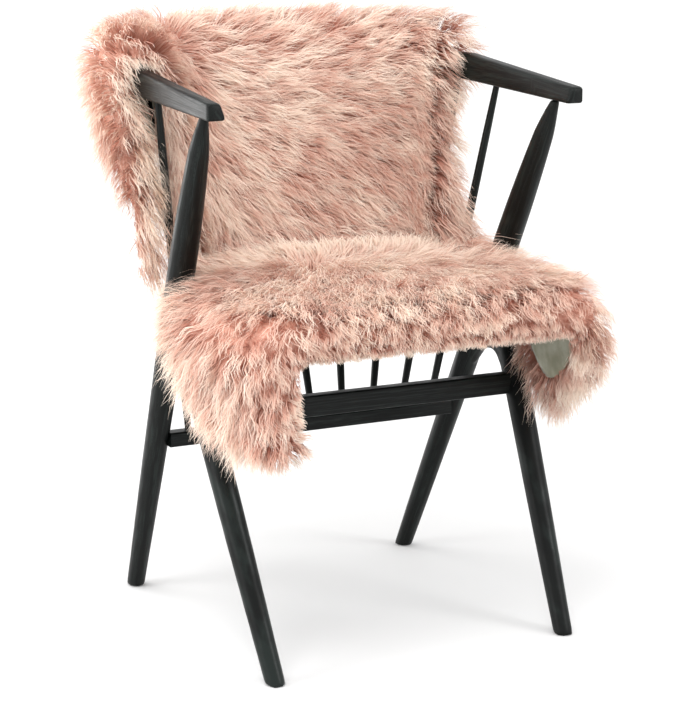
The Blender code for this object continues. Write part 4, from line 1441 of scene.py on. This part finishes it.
class SHEEPSKIN_OT_add_arms(bpy.types.Operator):
    """Add the two straight arms and the bent back rail between them"""

    bl_idname = "sheepskin.add_arms"
    bl_label = "Add arms and back rail"

    def execute(self, context):
        chair = context.scene.chair_sizes
        rail = Rail(chair)
        middle = Vector(chair.feet_middle)
        length = chair.bend_start - chair.arm_front
        ease = ARM_END_ROUNDING
        caps = [ease * (1.0 - math.cos(math.radians(turn))) for turn in ARM_END_TURNS]
        plain = np.linspace(ARM_PLAIN_FROM, length - 2.0 * GLUE_GAP, ARM_PLAIN_RINGS)
        stations = caps + list(plain)
        for label, side in (("left", -1.0), ("right", 1.0)):
            verts = []
            for distance in stations:
                y = chair.arm_front + distance
                share = distance / length
                x = side * (chair.arm_half_front + (chair.arm_half_back - chair.arm_half_front) * share)
                pull = min(1.0, distance / ease)
                inset = ARM_END_INSET * ease * (1.0 - math.sqrt(1.0 - (1.0 - pull) ** 2))
                top, low = rail.top(y), rail.underside(y)
                section = rail.section((x, y), (side, 0.0), top, low)
                heart = Vector((x, y, 0.5 * (top + low)))
                for corner in section:
                    offset = corner - heart
                    shrink = 1.0 - inset / max(1e-6, offset.length)
                    verts.append(heart + offset * shrink + middle)
            faces = ring_faces(len(stations), len(section))
            if side > 0.0:
                faces = [tuple(reversed(face)) for face in faces]
            name = "arm_" + label
            mesh = mesh_of(name, verts, faces)
            start = Vector((side * chair.arm_half_front, chair.arm_front, chair.arm_top_front)) + middle
            new_wood(name, mesh, start, start + Vector((0.0, 1.0, 0.0)), (name,))
        reach = rail.arc_at(chair.bend_start)
        arcs = np.linspace(-reach, reach, BACK_RAIL_RINGS)
        verts = []
        for arc in arcs:
            point, outward = rail.place(arc)
            section = rail.section(point, outward, rail.top(chair.back), rail.underside(chair.back))
            verts.extend(corner + middle for corner in section)
        mesh = mesh_of("back_rail", verts, ring_faces(len(arcs), len(section)))
        new_wood("back_rail", mesh, middle, middle + Vector((1.0, 0.0, 0.0)), ("back_rail",))
        return {"FINISHED"}


class SHEEPSKIN_OT_add_spindles(bpy.types.Operator):
    """Add the fan of turned spindles behind the seat"""

    bl_idname = "sheepskin.add_spindles"
    bl_label = "Add spindles"

    def execute(self, context):
        chair = context.scene.chair_sizes
        rail = Rail(chair)
        middle = Vector(chair.feet_middle)
        count = sum(1 for name in frame["nodes"] if name.startswith("spindle_"))
        for k in range(count):
            name = "spindle_" + str(k + 1)
            arc = rail.spindle_arc() * (2.0 * k / (count - 1) - 1.0)
            top, _ = rail.place(arc)
            foot = rail.spindle_foot(arc)
            low = chair.rear_rail_height + 0.5 * REAR_RAIL_SECTION[1] + GLUE_GAP
            start = Vector((foot[0], foot[1], low)) + middle
            end = Vector((top[0], top[1], rail.underside(top[1]) - GLUE_GAP)) + middle
            mesh = turned_rod(name, start, end, SPINDLE_PROFILE, SPINDLE_SIDES, stations=30)
            new_wood(name, mesh, start, end, (name,))
        return {"FINISHED"}


class SHEEPSKIN_OT_add_seat(bpy.types.Operator):
    """Add the thin dished seat panel"""

    bl_idname = "sheepskin.add_seat"
    bl_label = "Add seat"

    def execute(self, context):
        chair = context.scene.chair_sizes
        half = [(width, y) for y, width in SEAT_OUTLINE]
        plan = half + [(-width, y) for width, y in reversed(half)]
        front, back = SEAT_OUTLINE[0][0], SEAT_OUTLINE[-1][0]
        middle_y = 0.5 * (front + back)
        low = chair.seat_top - chair.seat_thickness
        verts = []
        for share, up, more in SEAT_RINGS:
            height = low + chair.seat_thickness * up + more
            for x, y in plan:
                place = Vector((x * share, middle_y + (y - middle_y) * share, height))
                verts.append(place + Vector(chair.feet_middle))
        mesh = mesh_of("seat", verts, ring_faces(len(SEAT_RINGS), len(plan)))
        grain_from = -0.24
        start = Vector((0.0, grain_from, chair.seat_top))
        new_wood("seat", mesh, start, start + Vector((0.0, 1.0, 0.0)), ("seat",))
        return {"FINISHED"}


class SHEEPSKIN_OT_add_skin(bpy.types.Operator):
    """Add the draped hide, the dense wool next to it and the long locks"""

    bl_idname = "sheepskin.add_skin"
    bl_label = "Add sheepskin"

    def execute(self, context):
        chair = context.scene.chair_sizes
        sizes = context.scene.skin_sizes
        skin = Skin(chair, sizes)
        flat = np.zeros(skin.grid.shape[:2])
        hide_mesh = skin.slab("hide", flat, flat + sizes.thickness)
        hide = new_piece("hide", hide_mesh, finish(suede_hide), ("sheepskin",))
        pile = skin.read_table(WOOL_ROWS, skin.walk)[:, :1]
        rise = rim_rise(skin.to_rim - UNDERLAYER_MARGIN, sizes)
        under = sizes.thickness + UNDERLAYER_LEAST + sizes.underwool * pile * rise
        under_start = flat + sizes.thickness + UNDERLAYER_GAP
        under_mesh = skin.slab("wool_underlayer", under_start, under)
        pieces = [new_piece("wool_underlayer", under_mesh, finish(dense_underwool), ())]
        surface = skin.grid.reshape(-1, 3)
        tree = KDTree(len(surface))
        for k, point in enumerate(surface):
            tree.insert(point, k)
        tree.balance()
        knot_rows = np.interp(skin.knots, skin.walk, np.arange(len(skin.walk)))
        middles = 0.5 * (skin.shares[1:] + skin.shares[:-1])
        for number, (name, first, last, left, right, per) in enumerate(WOOL_PARTS):
            rng = np.random.default_rng(sizes.seed + number)
            cells = np.arange(len(skin.walk) - 1)
            in_rows = cells >= knot_rows[skin.names.index(first)] - 0.5
            in_rows &= cells < knot_rows[skin.names.index(last)] - 0.5
            in_columns = (middles >= left) & (middles < right)
            rows, columns = field_locks(skin, sizes, in_rows, in_columns, rng)
            rim = rim_locks(skin, sizes, in_rows, in_columns, rng)
            strands = comb_wool(skin, sizes, rows, columns, rim, per, rng, tree)
            mesh = mesh_of_strands(name, *strands)
            pieces.append(new_piece(name, mesh, finish(dyed_long_wool), ()))
        return {"FINISHED"}


class SHEEPSKIN_PT_panel(bpy.types.Panel):
    """Sidebar panel that lists the pieces"""

    bl_idname = "SHEEPSKIN_PT_panel"
    bl_label = "Sheepskin"
    bl_space_type = "VIEW_3D"
    bl_region_type = "UI"
    bl_category = "Sheepskin"

    def draw(self, context):
        for operator in OPERATORS:
            self.layout.operator(operator.bl_idname)


GROUPS = (
    ("chair_sizes", ChairSizes),
    ("skin_sizes", SkinSizes),
    ("finish_colours", FinishColours),
    ("studio_settings", StudioSettings),
)
OPERATORS = (
    SHEEPSKIN_OT_add_camera,
    SHEEPSKIN_OT_add_studio,
    SHEEPSKIN_OT_add_legs,
    SHEEPSKIN_OT_add_rails,
    SHEEPSKIN_OT_add_arms,
    SHEEPSKIN_OT_add_spindles,
    SHEEPSKIN_OT_add_seat,
    SHEEPSKIN_OT_add_skin,
)


def register():
    for name, group in GROUPS:
        bpy.utils.register_class(group)
        setattr(bpy.types.Scene, name, PointerProperty(type=group))
    for operator in OPERATORS:
        bpy.utils.register_class(operator)
    bpy.utils.register_class(SHEEPSKIN_PT_panel)


def unregister():
    bpy.utils.unregister_class(SHEEPSKIN_PT_panel)
    for operator in reversed(OPERATORS):
        bpy.utils.unregister_class(operator)
    for name, group in reversed(GROUPS):
        delattr(bpy.types.Scene, name)
        bpy.utils.unregister_class(group)


def main():
    register()
    bpy.ops.sheepskin.add_camera()
    bpy.ops.sheepskin.add_studio()
    bpy.ops.sheepskin.add_legs()
    bpy.ops.sheepskin.add_rails()
    bpy.ops.sheepskin.add_arms()
    bpy.ops.sheepskin.add_spindles()
    bpy.ops.sheepskin.add_seat()
    bpy.ops.sheepskin.add_skin()


if __name__ == "__main__":
    main()
